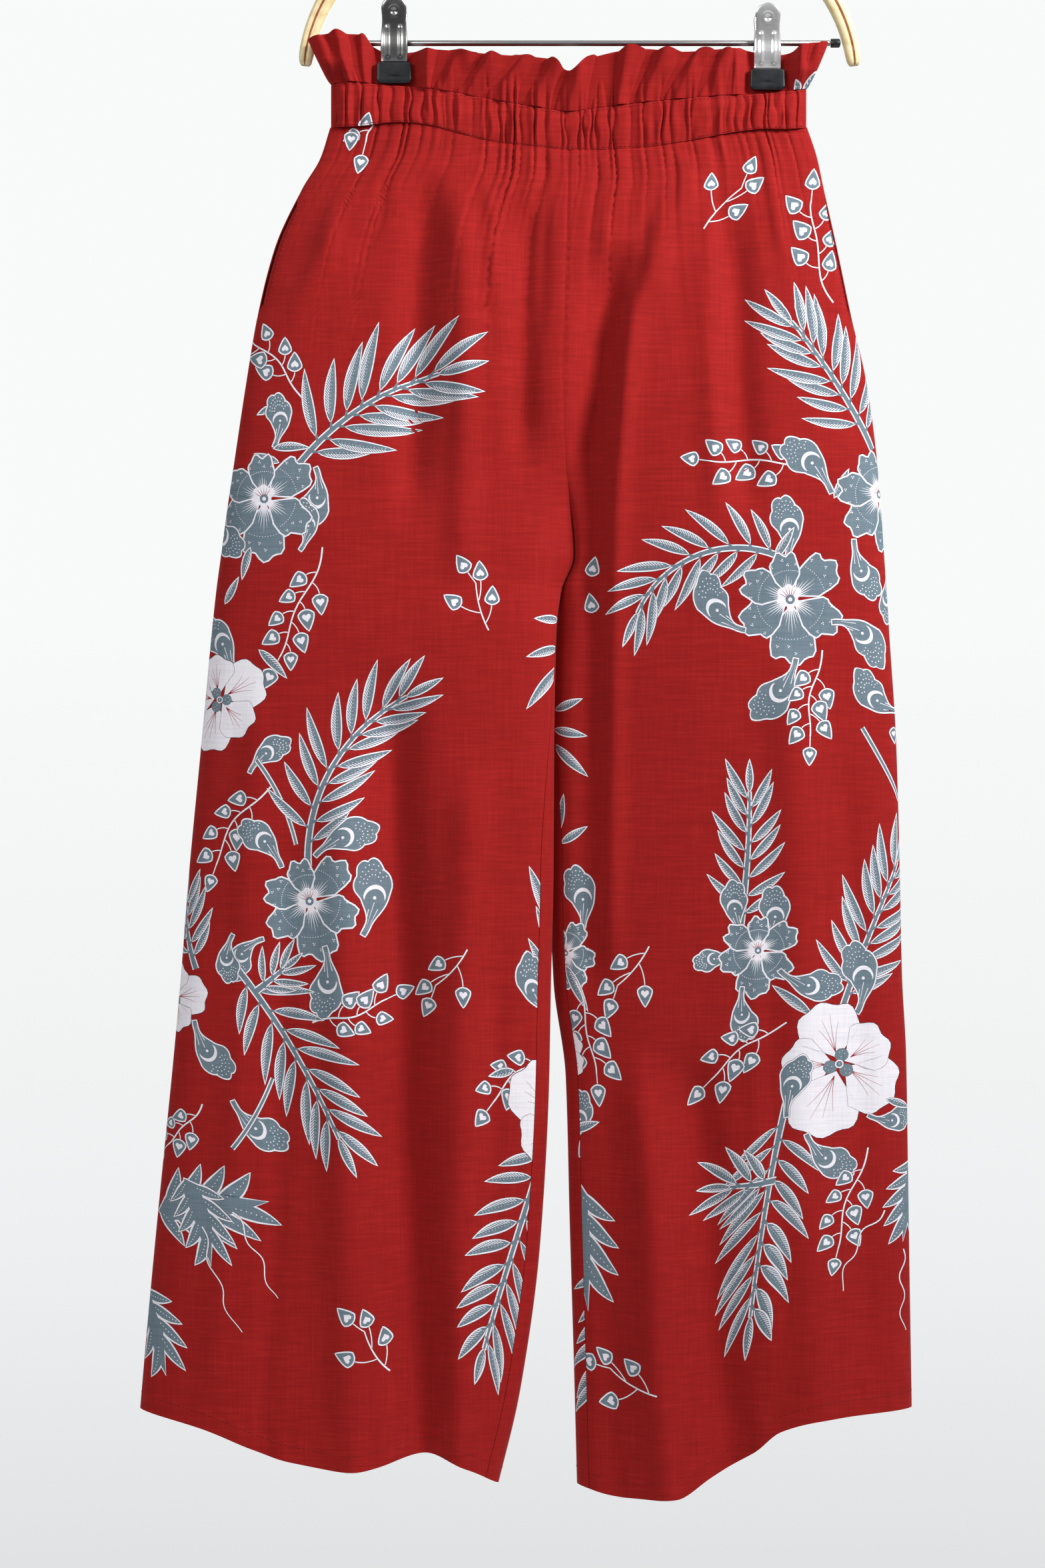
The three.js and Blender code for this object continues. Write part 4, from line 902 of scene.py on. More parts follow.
def mesh_object(name, points, faces, materials, places=None, normals=None):
    """An object from points in millimetres, with a material place for each face."""
    mesh = bpy.data.meshes.new(name)
    faces = np.asarray(faces)
    mesh.vertices.add(len(points))
    mesh.vertices.foreach_set("co", (np.asarray(points) * MM).ravel())
    mesh.loops.add(faces.size)
    mesh.loops.foreach_set("vertex_index", faces.ravel())
    mesh.polygons.add(len(faces))
    mesh.polygons.foreach_set("loop_start", np.arange(0, faces.size, faces.shape[1]))
    mesh.update(calc_edges=True)
    mesh.validate()
    for material in materials:
        mesh.materials.append(material)
    if places is not None:
        mesh.polygons.foreach_set("material_index", np.asarray(places, dtype=np.int32))
    mesh.polygons.foreach_set("use_smooth", np.ones(len(mesh.polygons), dtype=bool))
    if normals is not None and len(normals) == len(mesh.loops):
        mesh.normals_split_custom_set(normals.astype(np.float32).tolist())
    return linked(name, mesh)


def unit(vectors):
    return vectors / np.maximum(np.linalg.norm(vectors, axis=-1, keepdims=True), 1e-12)


def outward(surface, u, v, wide, way):
    """Unit normals of a surface over u from 0 to 1 and v in millimetres, on the side of way."""
    du, dv = 0.12 / wide, 0.12
    across = surface(np.clip(u + du, 0, 1), v) - surface(np.clip(u - du, 0, 1), v)
    normal = unit(np.cross(across, surface(u, v + dv) - surface(u, v - dv)))
    return -normal if np.sum(normal * way) < 0 else normal


def triangulated(places, edges, sides, nearness, sources):
    """Triangles that all turn one way over flat places, and which places each corner comes from."""
    found = delaunay_2d_cdt([Vector(p) for p in places.tolist()], edges, [], 0, nearness, sources)
    uv = snapped(np.array([tuple(p) for p in found[0]]), sides, 1e-3)
    faces = np.array(found[2])
    corners = uv[faces]
    area = np.cross(corners[:, 1] - corners[:, 0], corners[:, 2] - corners[:, 0])
    faces, area = faces[np.abs(area) > 1e-7], area[np.abs(area) > 1e-7]
    faces[area < 0] = faces[area < 0][:, ::-1]
    return uv, faces, found[3]


def staggered(rows, wide):
    """A grid of places over a panel, every other row set half a step across."""
    grid = []
    for k, (v, count) in enumerate(rows):
        u = np.linspace(0, wide, count)
        if k % 2 and 0 < k < len(rows) - 1:
            u = np.concatenate([[0], (u[1:] + u[:-1]) / 2, [wide]])
        grid.append(np.column_stack([u, np.full(len(u), v)]))
    return np.concatenate(grid)


def printed_shell(name, surface, form, way, wide, rows, shapes, thick):
    """A closed thin shell of cloth that faces way. surface(u, v) is its outer face, form(u, v)
    the smooth face that the inner one is set in from, rows gives each v with its count of
    columns, and shapes the print in (u, v)."""
    low, high = rows[0][0], rows[-1][0]
    sides = ((0, 0.0, wide), (1, low, high))
    grid = staggered(rows, wide)
    shapes = [(ink, shape * (wide, 1)) for ink, shape in shapes]
    shapes = [(ink, p) for ink, p in shapes
              if p[:, 0].max() > 0 and p[:, 0].min() < wide and p[:, 1].max() > low and p[:, 1].min() < high]
    cuts = [clipped(p, np.roll(p, -1, axis=0), sides) for _, p in shapes]
    starts, stops = (np.concatenate([np.empty((0, 2)), *[cut[n] for cut in cuts]]) for n in (0, 1))
    count = len(starts)
    edges = [(len(grid) + k, len(grid) + count + k) for k in range(count)]
    uv, faces, _ = triangulated(np.concatenate([grid, starts, stops]), edges, sides, 1e-4, False)
    ink = inks_at(uv[faces].mean(axis=1), shapes)

    u, v = uv[:, 0] / wide, uv[:, 1]
    outer = surface(u, v)
    outer_normal = outward(surface, u, v, wide, way)
    facing = np.cross(outer[faces[:, 1]] - outer[faces[:, 0]], outer[faces[:, 2]] - outer[faces[:, 0]])
    flip = np.sum(facing * outer_normal[faces[:, 0]]) < 0
    if flip:
        faces = faces[:, ::-1]

    # The rim, and an inner face on the same rim with a plain grid between
    ends = np.concatenate([faces[:, [0, 1]], faces[:, [1, 2]], faces[:, [2, 0]]])
    keys = np.sort(ends, axis=1) @ np.array([len(uv), 1])
    _, index, times = np.unique(keys, return_index=True, return_counts=True)
    rim = ends[index[times == 1]]
    rim_points = np.unique(rim)
    spread = np.array([(a, b) for b in np.arange(low + 4, high - 2, min(7.0, (high - low) / 4))
                       for a in np.arange(4, wide - 2, min(6.0, wide / 12))])
    inner_places = np.concatenate([uv[rim_points], spread])
    inner_uv, inner_faces, origins = triangulated(inner_places, [], sides, 1e-5, True)
    source = np.full(len(inner_places), -1)
    for k, origin in enumerate(origins):
        source[list(origin)] = k
    if not flip:
        inner_faces = inner_faces[:, ::-1]
    iu, iv = inner_uv[:, 0] / wide, inner_uv[:, 1]
    inner_normal = outward(form, iu, iv, wide, way)
    inner = form(iu, iv) - inner_normal * thick(iv)[:, None]

    a, b = rim.T
    of_rim = len(outer) + source[:len(rim_points)]
    c, d = (of_rim[np.searchsorted(rim_points, n)] for n in (a, b))
    rim_faces = np.stack([np.column_stack([b, a, c]), np.column_stack([b, c, d])], axis=1).reshape(-1, 3)
    points = np.concatenate([outer, inner])
    corners = points[rim_faces]
    edge_normal = unit(np.cross(corners[:, 1] - corners[:, 0], corners[:, 2] - corners[:, 0]))
    normals = np.concatenate([
        outer_normal[faces].reshape(-1, 3), -inner_normal[inner_faces].reshape(-1, 3),
        np.repeat(edge_normal, 3, axis=0),
    ])
    all_faces = np.concatenate([faces, inner_faces + len(outer), rim_faces])
    inks = np.concatenate([ink, np.zeros(len(inner_faces) + len(rim_faces), int)])
    return mesh_object(name, points, all_faces, INK_CLOTHS, inks, normals)


def stitch_run(name, surface, u, v, wide, way, length=2.7, gap=0.7, radius=0.24):
    """A row of short raised stitches along places (u, v) of a cloth's outer face."""
    points, normals = surface(u, v), outward(surface, u, v, wide, way)
    step = np.concatenate([[0], np.cumsum(np.linalg.norm(np.diff(points, axis=0), axis=1))])

    def at(distance, rows):
        return np.array([np.interp(distance, step, rows[:, n]) for n in range(3)])

    verts, faces = [], []
    for start in np.arange(gap, step[-1] - length, length + gap):
        first, last = at(start, points), at(start + length, points)
        normal = unit(at(start + length / 2, normals))
        run = last - first
        side = np.cross(unit(run), normal)
        core = (first + last) / 2 + normal * 0.1
        base = len(verts)
        verts.append(first - normal * 0.12)
        for centre in (core - run * 0.28, core + run * 0.28):
            for n, b in ((1, 0), (0, 1), (-1, 0), (0, -1)):
                verts.append(centre + normal * radius * n + side * radius * b)
        verts.append(last - normal * 0.12)
        for i in range(4):
            j = (i + 1) % 4
            faces += [(base, base + 1 + i, base + 1 + j), (base + 9, base + 5 + j, base + 5 + i)]
            faces += [(base + 1 + i, base + 5 + i, base + 5 + j), (base + 1 + i, base + 5 + j, base + 1 + j)]
    return ride(mesh_object(name, np.array(verts), np.array(faces), [thread]), "cloth")


def rings_object(name, rings, materials, places=None, close=True):
    """A piece through rings of equal counts, closed at both ends."""
    rings = np.asarray(rings)
    count, sides = rings.shape[:2]
    i, j = np.meshgrid(np.arange(count - 1), np.arange(sides), indexing="ij")
    a, b = i * sides + j, i * sides + (j + 1) % sides
    quads = np.stack([a, b, b + sides, a + sides], axis=-1).reshape(-1, 4)
    tris = np.concatenate([quads[:, [0, 1, 2]], quads[:, [0, 2, 3]]])
    which = np.concatenate([np.tile(np.arange(sides), count - 1)] * 2)
    points = rings.reshape(-1, 3)
    if close:
        centres = rings[[0, -1]].mean(axis=1)
        k = np.arange(sides)
        first = np.stack([np.full(sides, len(points)), (k + 1) % sides, k], axis=-1)
        start = (count - 1) * sides
        last = np.stack([np.full(sides, len(points) + 1), start + k, start + (k + 1) % sides], axis=-1)
        tris = np.concatenate([tris, first, last])
        which = np.concatenate([which, np.zeros(2 * sides, int)])
        points = np.concatenate([points, centres])
    corners = points[tris]
    volume = np.sum(np.cross(corners[:, 0], corners[:, 1]) * corners[:, 2])
    if volume < 0:
        tris = tris[:, ::-1]
    return mesh_object(name, points, tris, materials, None if places is None else np.asarray(places)[which])


def swept(path, sections):
    """Rings of sections, one at each point, carried along a path in the XZ plane."""
    path = np.asarray(path, float)
    run = unit(np.gradient(path, axis=0))
    side = np.column_stack([run[:, 2], np.zeros(len(run)), -run[:, 0]])
    return path[:, None] + sections[..., :1] * side[:, None] + sections[..., 1:] * np.array([0.0, 1.0, 0.0])


def lathe_x(profile, x, z, way=1):
    """Rings of a turned shape about a line along X; profile rows are (place, radius)."""
    turn = np.linspace(0, 2 * np.pi, 40, endpoint=False)
    across, up = np.cos(turn), np.sin(turn)
    return [np.column_stack([0 * turn + x + way * place, radius * across, z + radius * up])
            for place, radius in profile]


def srgb(red, green, blue):
    """A linear colour from the eight-bit one that a screen shows."""
    part = [c / 255 for c in (red, green, blue)]
    return (*[c / 12.92 if c <= 0.04045 else ((c + 0.055) / 1.055) ** 2.4 for c in part], 1)


def add_node(tree, kind, **inputs):
    """A node whose inputs are linked to sockets or set to values; _ in a name stands for a space."""
    node = tree.nodes.new(kind)
    connect(tree, node, **inputs)
    return node


def connect(tree, node, **inputs):
    for key, value in inputs.items():
        socket = node.inputs[key.replace("_", " ")]
        if isinstance(value, bpy.types.NodeSocket):
            tree.links.new(value, socket)
        else:
            socket.default_value = value


def stretched_noise(tree, scale, detail=3.0, roughness=0.55):
    """Noise over the object's own metres, with a scale for each axis."""
    place = tree.nodes.new("ShaderNodeTexCoord").outputs["Object"]
    mapping = add_node(tree, "ShaderNodeMapping", Vector=place, Scale=scale)
    noise = add_node(tree, "ShaderNodeTexNoise", Vector=mapping.outputs["Vector"], Scale=1.0,
                     Detail=detail, Roughness=roughness)
    return noise.outputs["Fac"]


def arithmetic(tree, operation, a, b):
    node = tree.nodes.new("ShaderNodeMath")
    node.operation = operation
    for socket, value in zip(node.inputs, (a, b)):
        if isinstance(value, bpy.types.NodeSocket):
            tree.links.new(value, socket)
        else:
            socket.default_value = value
    return node.outputs[0]


def weighted(tree, a, share, b, rest=None):
    """a times its share, plus b, times the rest where that is given."""
    added = b if rest is None else arithmetic(tree, "MULTIPLY", b, rest)
    return arithmetic(tree, "ADD", arithmetic(tree, "MULTIPLY", a, share), added)


def new_material(name):
    material = bpy.data.materials.new(name)
    material.use_nodes = True
    tree = material.node_tree
    return material, tree, tree.nodes["Principled BSDF"]


def colour_ramp(tree, value, stops):
    ramp = add_node(tree, "ShaderNodeValToRGB", Fac=value)
    elements = ramp.color_ramp.elements
    while len(elements) < len(stops):
        elements.new(0.5)
    for element, (place, colour) in zip(elements, stops):
        element.position, element.color = place, colour
    return ramp.outputs["Color"]


def relief(tree, height, strength, distance):
    bumps = add_node(tree, "ShaderNodeBump", Height=height, Strength=strength, Distance=distance)
    return bumps.outputs["Normal"]


def cloth_material(name, dark, plain, light, rough=0.86):
    """Slubby plain-weave cotton: long uneven yarns both ways over the weave itself."""
    material, tree, shader = new_material(name)
    weft = stretched_noise(tree, (42, 60, 760), 2.5, 0.6)
    warp = stretched_noise(tree, (820, 90, 34), 2.5, 0.6)
    yarns = weighted(tree, weft, 0.52, warp, 0.34)
    value = weighted(tree, stretched_noise(tree, (9, 9, 9), 2.0), 0.14, yarns)
    height = weighted(tree, stretched_noise(tree, (2300, 900, 2300), 1.0), 0.3, yarns)
    connect(tree, shader, Base_Color=colour_ramp(tree, value, [(0.3, dark), (0.5, plain), (0.7, light)]),
            Normal=relief(tree, height, 0.32, 0.0003), Roughness=rough, Specular_IOR_Level=0.2,
            Sheen_Weight=0.04, Sheen_Roughness=0.5)
    return material


def metal_material(name, colour, rough, scale, strength, metallic=1.0):
    """Bright sheet metal or drawn steel with faint streaks and handling marks."""
    material, tree, shader = new_material(name)
    streaks = stretched_noise(tree, scale, 4.0)
    both = weighted(tree, streaks, 0.6, stretched_noise(tree, (140, 140, 140), 4.0, 0.7), 0.4)
    shade = tuple(0.86 * c for c in colour[:3]) + (1,)
    connect(tree, shader, Base_Color=colour_ramp(tree, both, [(0.3, shade), (0.65, colour)]),
            Normal=relief(tree, both, strength, 0.00012), Metallic=metallic,
            Roughness=weighted(tree, both, 0.16, rough - 0.08))
    return material


def rubber_material():
    material, tree, shader = new_material("moulded rubber")
    grain = stretched_noise(tree, (900, 900, 900), 3.0)
    wear = stretched_noise(tree, (110, 110, 110), 4.0, 0.65)
    colour = colour_ramp(tree, wear, [(0.35, srgb(14, 17, 20)), (0.7, srgb(30, 34, 38))])
    connect(tree, shader, Base_Color=colour, Normal=relief(tree, grain, 0.18, 0.0002),
            Roughness=weighted(tree, wear, 0.22, 0.26))
    return material


def wood_material(name, dark, plain, light):
    """Pale varnished wood with long fine grain."""
    material, tree, shader = new_material(name)
    grain = stretched_noise(tree, (34, 620, 190), 5.0, 0.6)
    both = weighted(tree, grain, 0.7, stretched_noise(tree, (14, 40, 22), 2.0), 0.3)
    connect(tree, shader, Base_Color=colour_ramp(tree, both, [(0.32, dark), (0.5, plain), (0.68, light)]),
            Normal=relief(tree, grain, 0.12, 0.0003), Roughness=weighted(tree, grain, 0.2, 0.26),
            Coat_Weight=0.25, Coat_Roughness=0.2)
    return material


red_ink = cloth_material("red cotton", srgb(136, 15, 13), srgb(152, 20, 18), srgb(168, 29, 26))
dark_ink = cloth_material("dark print edge", srgb(58, 30, 36), srgb(72, 40, 46), srgb(86, 54, 60))
light_ink = cloth_material("white print", srgb(222, 218, 228), srgb(236, 233, 240), srgb(246, 244, 249))
slate_ink = cloth_material("slate print", srgb(96, 113, 124), srgb(108, 125, 136), srgb(120, 137, 148))
INK_CLOTHS = [red_ink, dark_ink, light_ink, slate_ink]
thread = cloth_material("red thread", srgb(112, 20, 18), srgb(136, 28, 25), srgb(156, 42, 38), 0.7)
wood = wood_material("pale wood", srgb(222, 198, 142), srgb(238, 221, 172), srgb(246, 233, 194))
groove_wood = wood_material("groove brown", srgb(128, 66, 30), srgb(158, 92, 48), srgb(182, 118, 70))
chrome = metal_material("chrome sheet", srgb(243, 243, 244), 0.16, (60, 60, 900), 0.08, 0.75)
# A darker copy of the bright chrome, for the left clip's jaws only: painted shade
shaded_chrome = metal_material("chrome in painted shade", srgb(158, 157, 156), 0.24, (60, 60, 900), 0.12)
steel = metal_material("drawn steel", srgb(176, 176, 178), 0.3, (30, 900, 900), 0.16)
rubber = rubber_material()

# Rows of each leg shell, with their counts of columns, denser at the gathers and the hem's turn
ROWS_LEG = [(v, 190) for v in np.arange(262, 332, 2.6)] + [(v, 104) for v in np.arange(334, 1186, 4.0)]
ROWS_LEG += [(v, 104) for v in (1187.5, 1189.5, 1191, 1192.5, 1195, 1199, 1203, HEM_DROP)]


def leg_thick(v):
    """The leg shell's wall, thicker at the turned hem and under the casing."""
    turn = smooth((v - HEM_FOLD) / 1.6)
    return CLOTH + (HEM_CLOTH - CLOTH) * turn + 1.3 * np.exp(-(v - TOP_DROP) / 24)


def leg_panel(side, face, rows):
    def used(u, v):
        return u * (1 - pocket_stop(side, v)) if face == "front" else u

    def surface(u, v):
        return leg_surface(side, face, used(u, v), v)

    def form(u, v):
        points = leg_form(side, face, used(u, v), v)
        points[..., 1] = mix(points[..., 1], surface(u, v)[..., 1], smooth((v - TOP_DROP) / 70))
        return points

    name, way = f"{face}_leg_{side}", (0, way_out(face), 0)
    piece = printed_shell(f"cotton_{name}", surface, form, way, LEG_WIDE, ROWS_LEG,
                          leg_print(side, face, rows), leg_thick)
    u, v = np.linspace(0, 1, 400), np.full(400, HEM_FOLD + 2.2)
    extra = [stitch_run(f"hem_stitches_{name}", surface, u, v, LEG_WIDE, way)]
    if face == "front":
        top, bottom, _ = POCKET[side]
        u, v = np.full(200, 0.985), np.linspace(top + 10, bottom - 6, 200)
        extra.append(stitch_run(f"pocket_stitches_{side}", surface, u, v, LEG_WIDE, way))
    declare(piece, name)


def waist_panel(name, face, surface_of, form_of, tall, columns, rows, shapes):
    """A casing or frill shell, and its outer face as a function of (u, v)."""
    def open_t(u):
        return mix(WAIST_END, 1 - WAIST_END, u)

    def surface(u, v):
        return surface_of(face, open_t(u), v / tall)

    def form(u, v):
        return form_of(face, open_t(u), v / tall)

    steps = [(v, columns) for v in np.linspace(0, tall, rows)]
    return printed_shell(f"cotton_{name}", surface, form, (0, way_out(face), 0), WAIST_WIDE, steps,
                         shapes, lambda v: np.full(len(v), CLOTH)), surface


def waist_shapes(rows, top_of, bottom_of, tall, from_bottom):
    """Print on the casing or frill: outlines in (t, v) from places on the front."""
    made = []
    for motif, x, z, angle, *sizes in rows:
        for ink, shape in motif(*sizes):
            px, pz = turned(shape, angle, (x, z)).T
            down = (-pz - top_of(px)) / (bottom_of(px) - top_of(px)) * tall
            t = (px - WAIST_LEFT) / WAIST_WIDE
            made.append((ink, np.column_stack([t, tall - down if from_bottom else down])))
    return made


def ride(piece, slot, *nodes):
    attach(piece, "root")
    if nodes:
        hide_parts(*nodes)
    return piece


def declare(piece, node):
    ride(piece, "cloth", node)


# Legs
LEG_PRINTS = {
    ("left", "front"): PRINT_LEFT,
    ("right", "front"): PRINT_RIGHT,
    ("left", "back"): mirrored(PRINT_RIGHT, -38, 26),
    ("right", "back"): mirrored(PRINT_LEFT, -38, 18),
}
for (side, face), rows in LEG_PRINTS.items():
    leg_panel(side, face, rows)

# Waist
for face in ("front", "back"):
    printed, way = face == "front", (0, way_out(face), 0)
    shapes = waist_shapes(PRINT_CASING, casing_top, casing_bottom, CASING_TALL, False) if printed else []
    casing, casing_face = waist_panel(f"waist_casing_{face}", face, casing_surface, casing_form,
                                      CASING_TALL, 500, 15, shapes)
    for k, place in enumerate((0.05, 0.955)):
        u, v = np.linspace(0.004, 0.996, 900), np.full(900, place * CASING_TALL)
        stitch_run(f"waist_stitches_{face}_{k}", casing_face, u, v, WAIST_WIDE, way,
                               length=2.3, gap=0.8, radius=0.22)
    declare(casing, f"waist_casing_{face}")
    shapes = waist_shapes(PRINT_FRILL, frill_top, casing_top, FRILL_SHELL_TALL, True) if printed else []
    frill, _ = waist_panel(f"frill_{face}", face, frill_surface, frill_form,
                           FRILL_SHELL_TALL, 330, 20, shapes)
    declare(frill, f"frill_{face}")

# Pocket facings
FACING_WIDE, FACING_BEHIND = 60.0, 2.3
FACING_ROWS = [(v, 22) for v in np.linspace(300, 414, 40)]
for side, way in (("left", -1), ("right", 1)):
    def facing_surface(u, v, side=side, way=way):
        s = mix(0.78, 1, u)
        across = unit(leg_form(side, "front", s + 1e-6, v) - leg_form(side, "front", s - 1e-6, v))
        inward = np.stack([across[..., 1], -across[..., 0], np.zeros_like(s)], axis=-1) * way
        inward[inward[..., 0] * way > 0] *= -1
        return leg_surface(side, "front", s, v) + inward * FACING_BEHIND

    facing = printed_shell(f"cotton_pocket_facing_{side}", facing_surface, facing_surface, (way, -1.5, 0),
                           FACING_WIDE, FACING_ROWS, [], lambda v: np.full(len(v), 0.8))
    declare(facing, f"pocket_facing_{side}")

# Wooden arch: a rounded bar with a darker brown groove along its front
turn = np.linspace(ARCH_TIP, math.pi - ARCH_TIP, 220)
arch_path = np.column_stack([ARCH_HALF_SPAN * np.cos(turn), 0 * turn, ARCH_RISE * np.sin(turn) - ARCH_FOOT])
round_turn = np.linspace(-np.pi, np.pi, 64, endpoint=False)
ring_u, ring_w = softened(np.cos(round_turn), 0.62), softened(np.sin(round_turn), 0.55)
in_groove = (np.abs(ring_u) < GROOVE) & (ring_w < 0)
ring_w = np.where(in_groove, ring_w + 0.2 * np.sqrt(np.clip(1 - (ring_u / GROOVE) ** 2, 0, 1)), ring_w)
arch_sections = []
for k, angle in enumerate(turn):
    ends = min(k, len(turn) - 1 - k)
    tip = math.sqrt(1 - (1 - min(ends / 5, 1)) ** 2) * 0.42 + 0.58
    width = mix(ARM_TIP, ARM_MIDDLE, math.sin(angle)) / 2 * tip
    arch_sections.append(np.column_stack([ring_u * width, ring_w * ARM_DEPTH / 2 * tip]))
arch = rings_object("wood_hanger_arch", swept(arch_path, np.array(arch_sections)), [wood, groove_wood],
                    in_groove.astype(int))
ride(arch, "wood", "hanger_arch")

# Hook, collar, bar and caps
radius = HOOK_INSIDE + WIRE
hook_points = [(0, 0, -COLLAR_TOP + SEAM_GAP), (0, 0, -55), (5, 0, -47), (14, 0, -38.5)]
for angle in np.linspace(-0.35, math.pi + 0.5, 11):
    hook_points.append((radius * math.cos(angle), 0, radius * math.sin(angle) - HOOK_INSIDE))
hook_points = np.array(hook_points, float)
before, after = 2 * hook_points[0] - hook_points[1], 2 * hook_points[-1] - hook_points[-2]
padded = np.concatenate([[before], hook_points, [after]])
hook_path = []
for k in range(1, len(padded) - 2):
    a, b, c, d = padded[k - 1:k + 3]
    for t in np.linspace(0, 1, 12, endpoint=False):
        squared, cubed = 2 * a - 5 * b + 4 * c - d, 3 * b - a - 3 * c + d
        hook_path.append(0.5 * (2 * b + (c - a) * t + squared * t * t + cubed * t ** 3))
hook_path.append(hook_points[-1])
circle = np.linspace(0, 2 * np.pi, 24, endpoint=False)
wire = np.column_stack([WIRE * np.cos(circle), WIRE * np.sin(circle)])
sections = np.repeat(wire[None], len(hook_path), axis=0)
for k, size in enumerate((0.35, 0.75, 0.95)):
    sections[len(hook_path) - 1 - k] *= size
ride(rings_object("steel_hook", swept(hook_path, sections), [steel]), "bar_steel", "hook")

collar_profile = [(-COLLAR_BOTTOM, 4.9), (-COLLAR_BOTTOM + 0.5, 5.4), (-COLLAR_BOTTOM + 3, 5.5), (-67, 5.45),
                  (-66.2, 4.9), (-65.4, 4.9), (-64.8, 5.2), (-63, 4.8), (-62.3, 4.3), (-COLLAR_TOP, 3.2)]
collar_rings = [np.column_stack([r * np.cos(circle), r * np.sin(circle), np.full(24, z)])
                for z, r in collar_profile]
ride(rings_object("steel_collar", collar_rings, [steel]), "bar_steel", "hook_collar")

profile = [(-BAR_HALF, 1.6), (-BAR_HALF + 0.5, BAR_RADIUS), (0, BAR_RADIUS), (BAR_HALF - 0.5, BAR_RADIUS),
           (BAR_HALF, 1.6)]
ride(rings_object("steel_bar", lathe_x(profile, 0, -BAR_DROP), [steel]), "bar_steel", "bar")
for side, way in (("left", -1), ("right", 1)):
    profile = [(BAR_HALF + 0.3, 2.6), (BAR_HALF + 0.7, CAP_RADIUS), (CAP_END - 1.2, CAP_RADIUS),
               (CAP_END - 0.4, 2.7), (CAP_END, 1.6)]
    cap = rings_object(f"rubber_cap_{side}", lathe_x(profile, 0, -BAR_DROP, way), [rubber])
    ride(cap, "rubber", f"bar_cap_{side}")


def jaw(name, x, depth, pad_top, ribbed, material):
    """A clip's sheet jaw: a waisted lever with a round top, two ribs and a small dent."""
    s, h = np.meshgrid(np.linspace(0, 1, 49), np.linspace(0, 1, 70) ** 0.9 * JAW_TALL, indexing="xy")

    def face(s, h):
        over = np.maximum(h - (JAW_TALL - JAW_HALF), 0)
        half = np.maximum(JAW_HALF * np.sqrt(np.maximum(1 - (over / JAW_HALF) ** 2, 0)), 1.5)
        waist = half - 1.1 * bump((h - 30) / 9)
        lean = 5.6 + 1.5 * smooth(h / 14) + 5.5 * smooth((h - 17) / 30)
        across = mix(-waist, waist, s)
        curl = 0.9 * (np.abs(2 * s - 1)) ** 6
        out = lean - curl
        if ribbed:
            run = smooth((h - 2) / 3) * (1 - smooth((h - 24) / 3))
            rib = np.maximum(bump((across + 4.5) / 1.5), bump((across - 4.5) / 1.5))
            out = out + 0.95 * run * rib
        dent = np.hypot(across, h - 35.5)
        out = out - 1.0 * bump(dent / 1.9) + 0.35 * bump((dent - 3.2) / 1.1)
        return np.stack([across, depth * out, -pad_top + h], axis=-1)

    outer = face(s, h)
    du = face(np.minimum(s + 0.01, 1), h) - face(np.maximum(s - 0.01, 0), h)
    dv = face(s, h + 0.05) - face(s, h - 0.05)
    normal = unit(np.cross(du, dv))
    normal *= np.sign((normal[..., 1] * depth).mean())
    inner = outer - normal * JAW_WALL
    rings = [np.concatenate([outer[k], inner[k][::-1]]) for k in range(len(h))]
    rings = np.array(rings) + (x, 0, 0)
    return rings_object(name, rings, [material])


def pad(name, x, depth, bottom, shift):
    """A moulded pad with rounded edges and small dimples on its face."""
    turn = np.linspace(0, 2 * np.pi, 72, endpoint=False)
    rings = []
    heights = np.linspace(0, 3, 8), np.linspace(3.6, 12.4, 16), np.linspace(13, PAD_TALL, 8)
    for height in np.concatenate(heights):
        low = math.sqrt(max(1 - (1 - min(height / 3.0, 1)) ** 2, 0))
        high = math.sqrt(max(1 - (1 - min((PAD_TALL - height) / 1.6, 1)) ** 2, 0))
        wide = PAD_WIDE / 2 * (0.72 + 0.28 * low) * (0.95 + 0.05 * high) - 0.35 * (height / PAD_TALL)
        deep = PAD_DEEP / 2 * (0.6 + 0.4 * min(low, high))
        u, w = softened(np.cos(turn), 0.3) * wide, softened(np.sin(turn), 0.3) * deep
        dent = sum(bump(np.hypot(u - a, height - b) / 1.1) for a, b in shift)
        w = np.where(w > 0, w - 0.5 * dent, w)
        y = depth * (PAD_FACE + PAD_DEEP / 2 + w)
        rings.append(np.column_stack([x + u, y, np.full(72, -bottom + height)]))
    return rings_object(name, rings, [rubber])


for k, side in enumerate(("left", "right")):
    x = CLIP_X[k]
    pad_top = PAD_BOTTOM[k] - PAD_TALL - SEAM_GAP
    # The left clip's jaws take the darker chrome copy, which is painted shade; the right clip's jaws take the
    # bright chrome
    metal = (shaded_chrome, chrome)[k]
    dents = [(-4.6, 13.2), (4.6, 13.2), (-0.6, 4.6)] if k == 0 else [(-0.4, 5.2)]
    for face, depth in (("front", -1), ("back", 1)):
        piece = jaw(f"chrome_jaw_{face}_{side}", x, depth, pad_top, face == "front", metal)
        ride(piece, "clip_chrome", f"clip_jaw_{face}_{side}")
        piece = pad(f"rubber_pad_{face}_{side}", x, depth, PAD_BOTTOM[k], dents if face == "front" else [])
        ride(piece, "rubber", f"clip_pad_{face}_{side}")
    places = np.linspace(-6, 6, 97)
    coil = [(p, 4.95 + 0.5 * abs(math.cos(math.pi * p / 1.5)) ** 0.7) for p in places]
    profile = [(-6, 2.45)] + coil + [(6, 2.45), (-6, 2.45)]
    sleeve = rings_object(f"chrome_spring_{side}", lathe_x(profile, x, -BAR_DROP), [chrome], close=False)
    ride(sleeve, "clip_chrome", f"clip_sleeve_{side}")

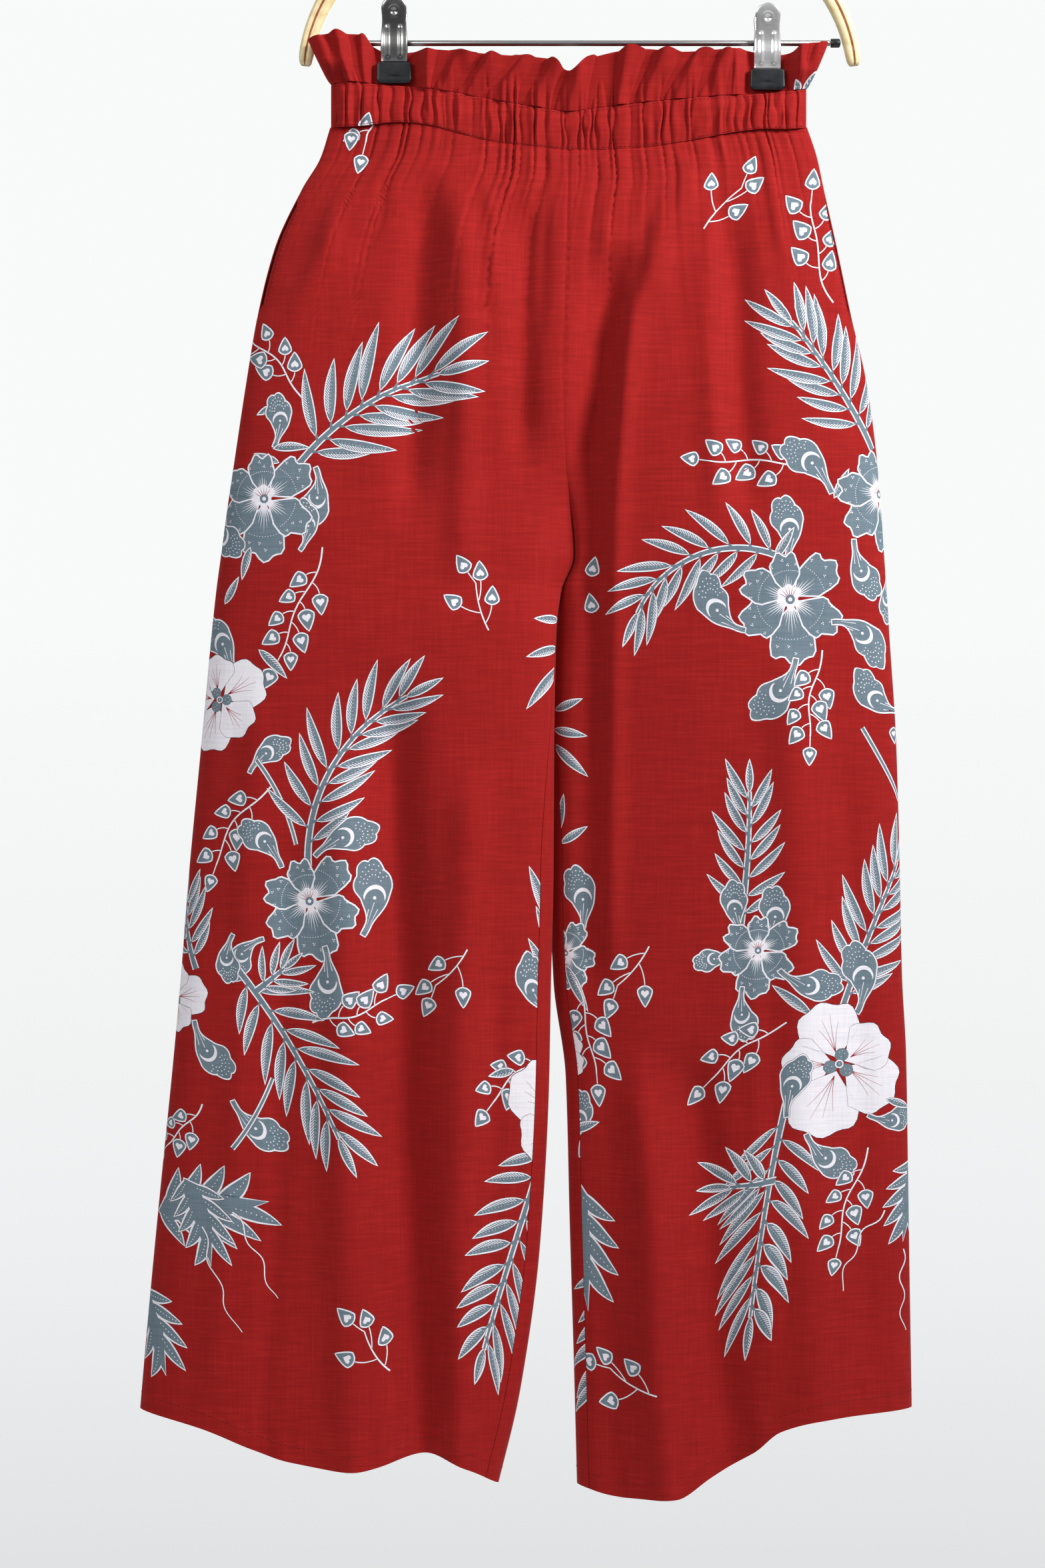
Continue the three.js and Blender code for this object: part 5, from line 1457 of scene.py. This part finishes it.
# Camera at the photograph's place: level, square to the front
camera_data = bpy.data.cameras.new("camera")
camera_data.sensor_fit = "VERTICAL"
camera_data.sensor_height = 36
camera_data.lens = 36 * -CAMERA[1] / FRAME_TALL
camera = linked("camera", camera_data)
camera.location = CAMERA
camera.rotation_euler = (math.pi / 2, 0, 0)
bpy.context.scene.camera = camera

# Pale floor below the hanging garment
floor_data = bpy.data.meshes.new("floor")
floor_data.from_pydata([(x, y, FLOOR) for x, y in ((-2, -2), (2, -2), (2, 2), (-2, 2))], [], [(0, 1, 2, 3)])
floor = linked("floor", floor_data)
floor_material, floor_tree, floor_shader = new_material("pale floor")
floor_colour = colour_ramp(floor_tree, stretched_noise(floor_tree, (3, 3, 3)),
                           [(0.3, (0.78, 0.78, 0.78, 1)), (0.7, (0.84, 0.84, 0.84, 1))])
connect(floor_tree, floor_shader, Base_Color=floor_colour, Roughness=0.9)
floor_data.materials.append(floor_material)


def area_light(name, place, aim, size, power, spread=180):
    """A rectangular light aimed at a point, with its beam's spread in degrees."""
    data = bpy.data.lights.new(name, "AREA")
    data.shape = "RECTANGLE"
    data.size, data.size_y = size
    data.energy = power
    data.spread = math.radians(spread)
    light = linked(name, data)
    light.location = place
    light.rotation_euler = (Vector(aim) - Vector(place)).to_track_quat("-Z", "Y").to_euler()


area_light("key", (1.75, -1.15, 0.7), (-0.12, 0, -0.25), (0.7, 0.8), 15.5, 80)
area_light("fill", (-1.65, -1.85, 0.5), (0, 0, -0.35), (1.1, 1.1), 4.2, 90)
area_light("rim", (0.4, 1.9, 0.4), (0, 0, -0.6), (1.4, 1.4), 16)

world = bpy.data.worlds.new("soft room")
world.use_nodes = True
room = world.node_tree
room.nodes.clear()
direction = room.nodes.new("ShaderNodeTexCoord").outputs["Generated"]
split = add_node(room, "ShaderNodeSeparateXYZ", Vector=direction)
height = weighted(room, split.outputs["Z"], 2.2, 0.5)
# The wall that the camera sees is darker towards the bottom: painted shade
wall_with_painted_shade = colour_ramp(room, height, [(0.0, srgb(222, 223, 224)), (0.22, srgb(238, 239, 240)),
                                  (0.6, srgb(248, 250, 249))])
glow = colour_ramp(room, height, [(0.0, (0.2, 0.2, 0.2, 1)), (0.4, (0.36, 0.36, 0.37, 1)),
                                  (0.62, (0.62, 0.63, 0.64, 1)), (1.0, (1, 1, 1, 1))])
seen = add_node(room, "ShaderNodeBackground", Color=wall_with_painted_shade, Strength=1.0)
lit = add_node(room, "ShaderNodeBackground", Color=glow, Strength=0.55)
ray = room.nodes.new("ShaderNodeLightPath")
either = room.nodes.new("ShaderNodeMixShader")
for k, socket in enumerate((ray.outputs["Is Camera Ray"], lit.outputs[0], seen.outputs[0])):
    room.links.new(socket, either.inputs[k])
add_node(room, "ShaderNodeOutputWorld", Surface=either.outputs[0])
bpy.context.scene.world = world
bpy.context.scene.view_settings.view_transform = "Standard"
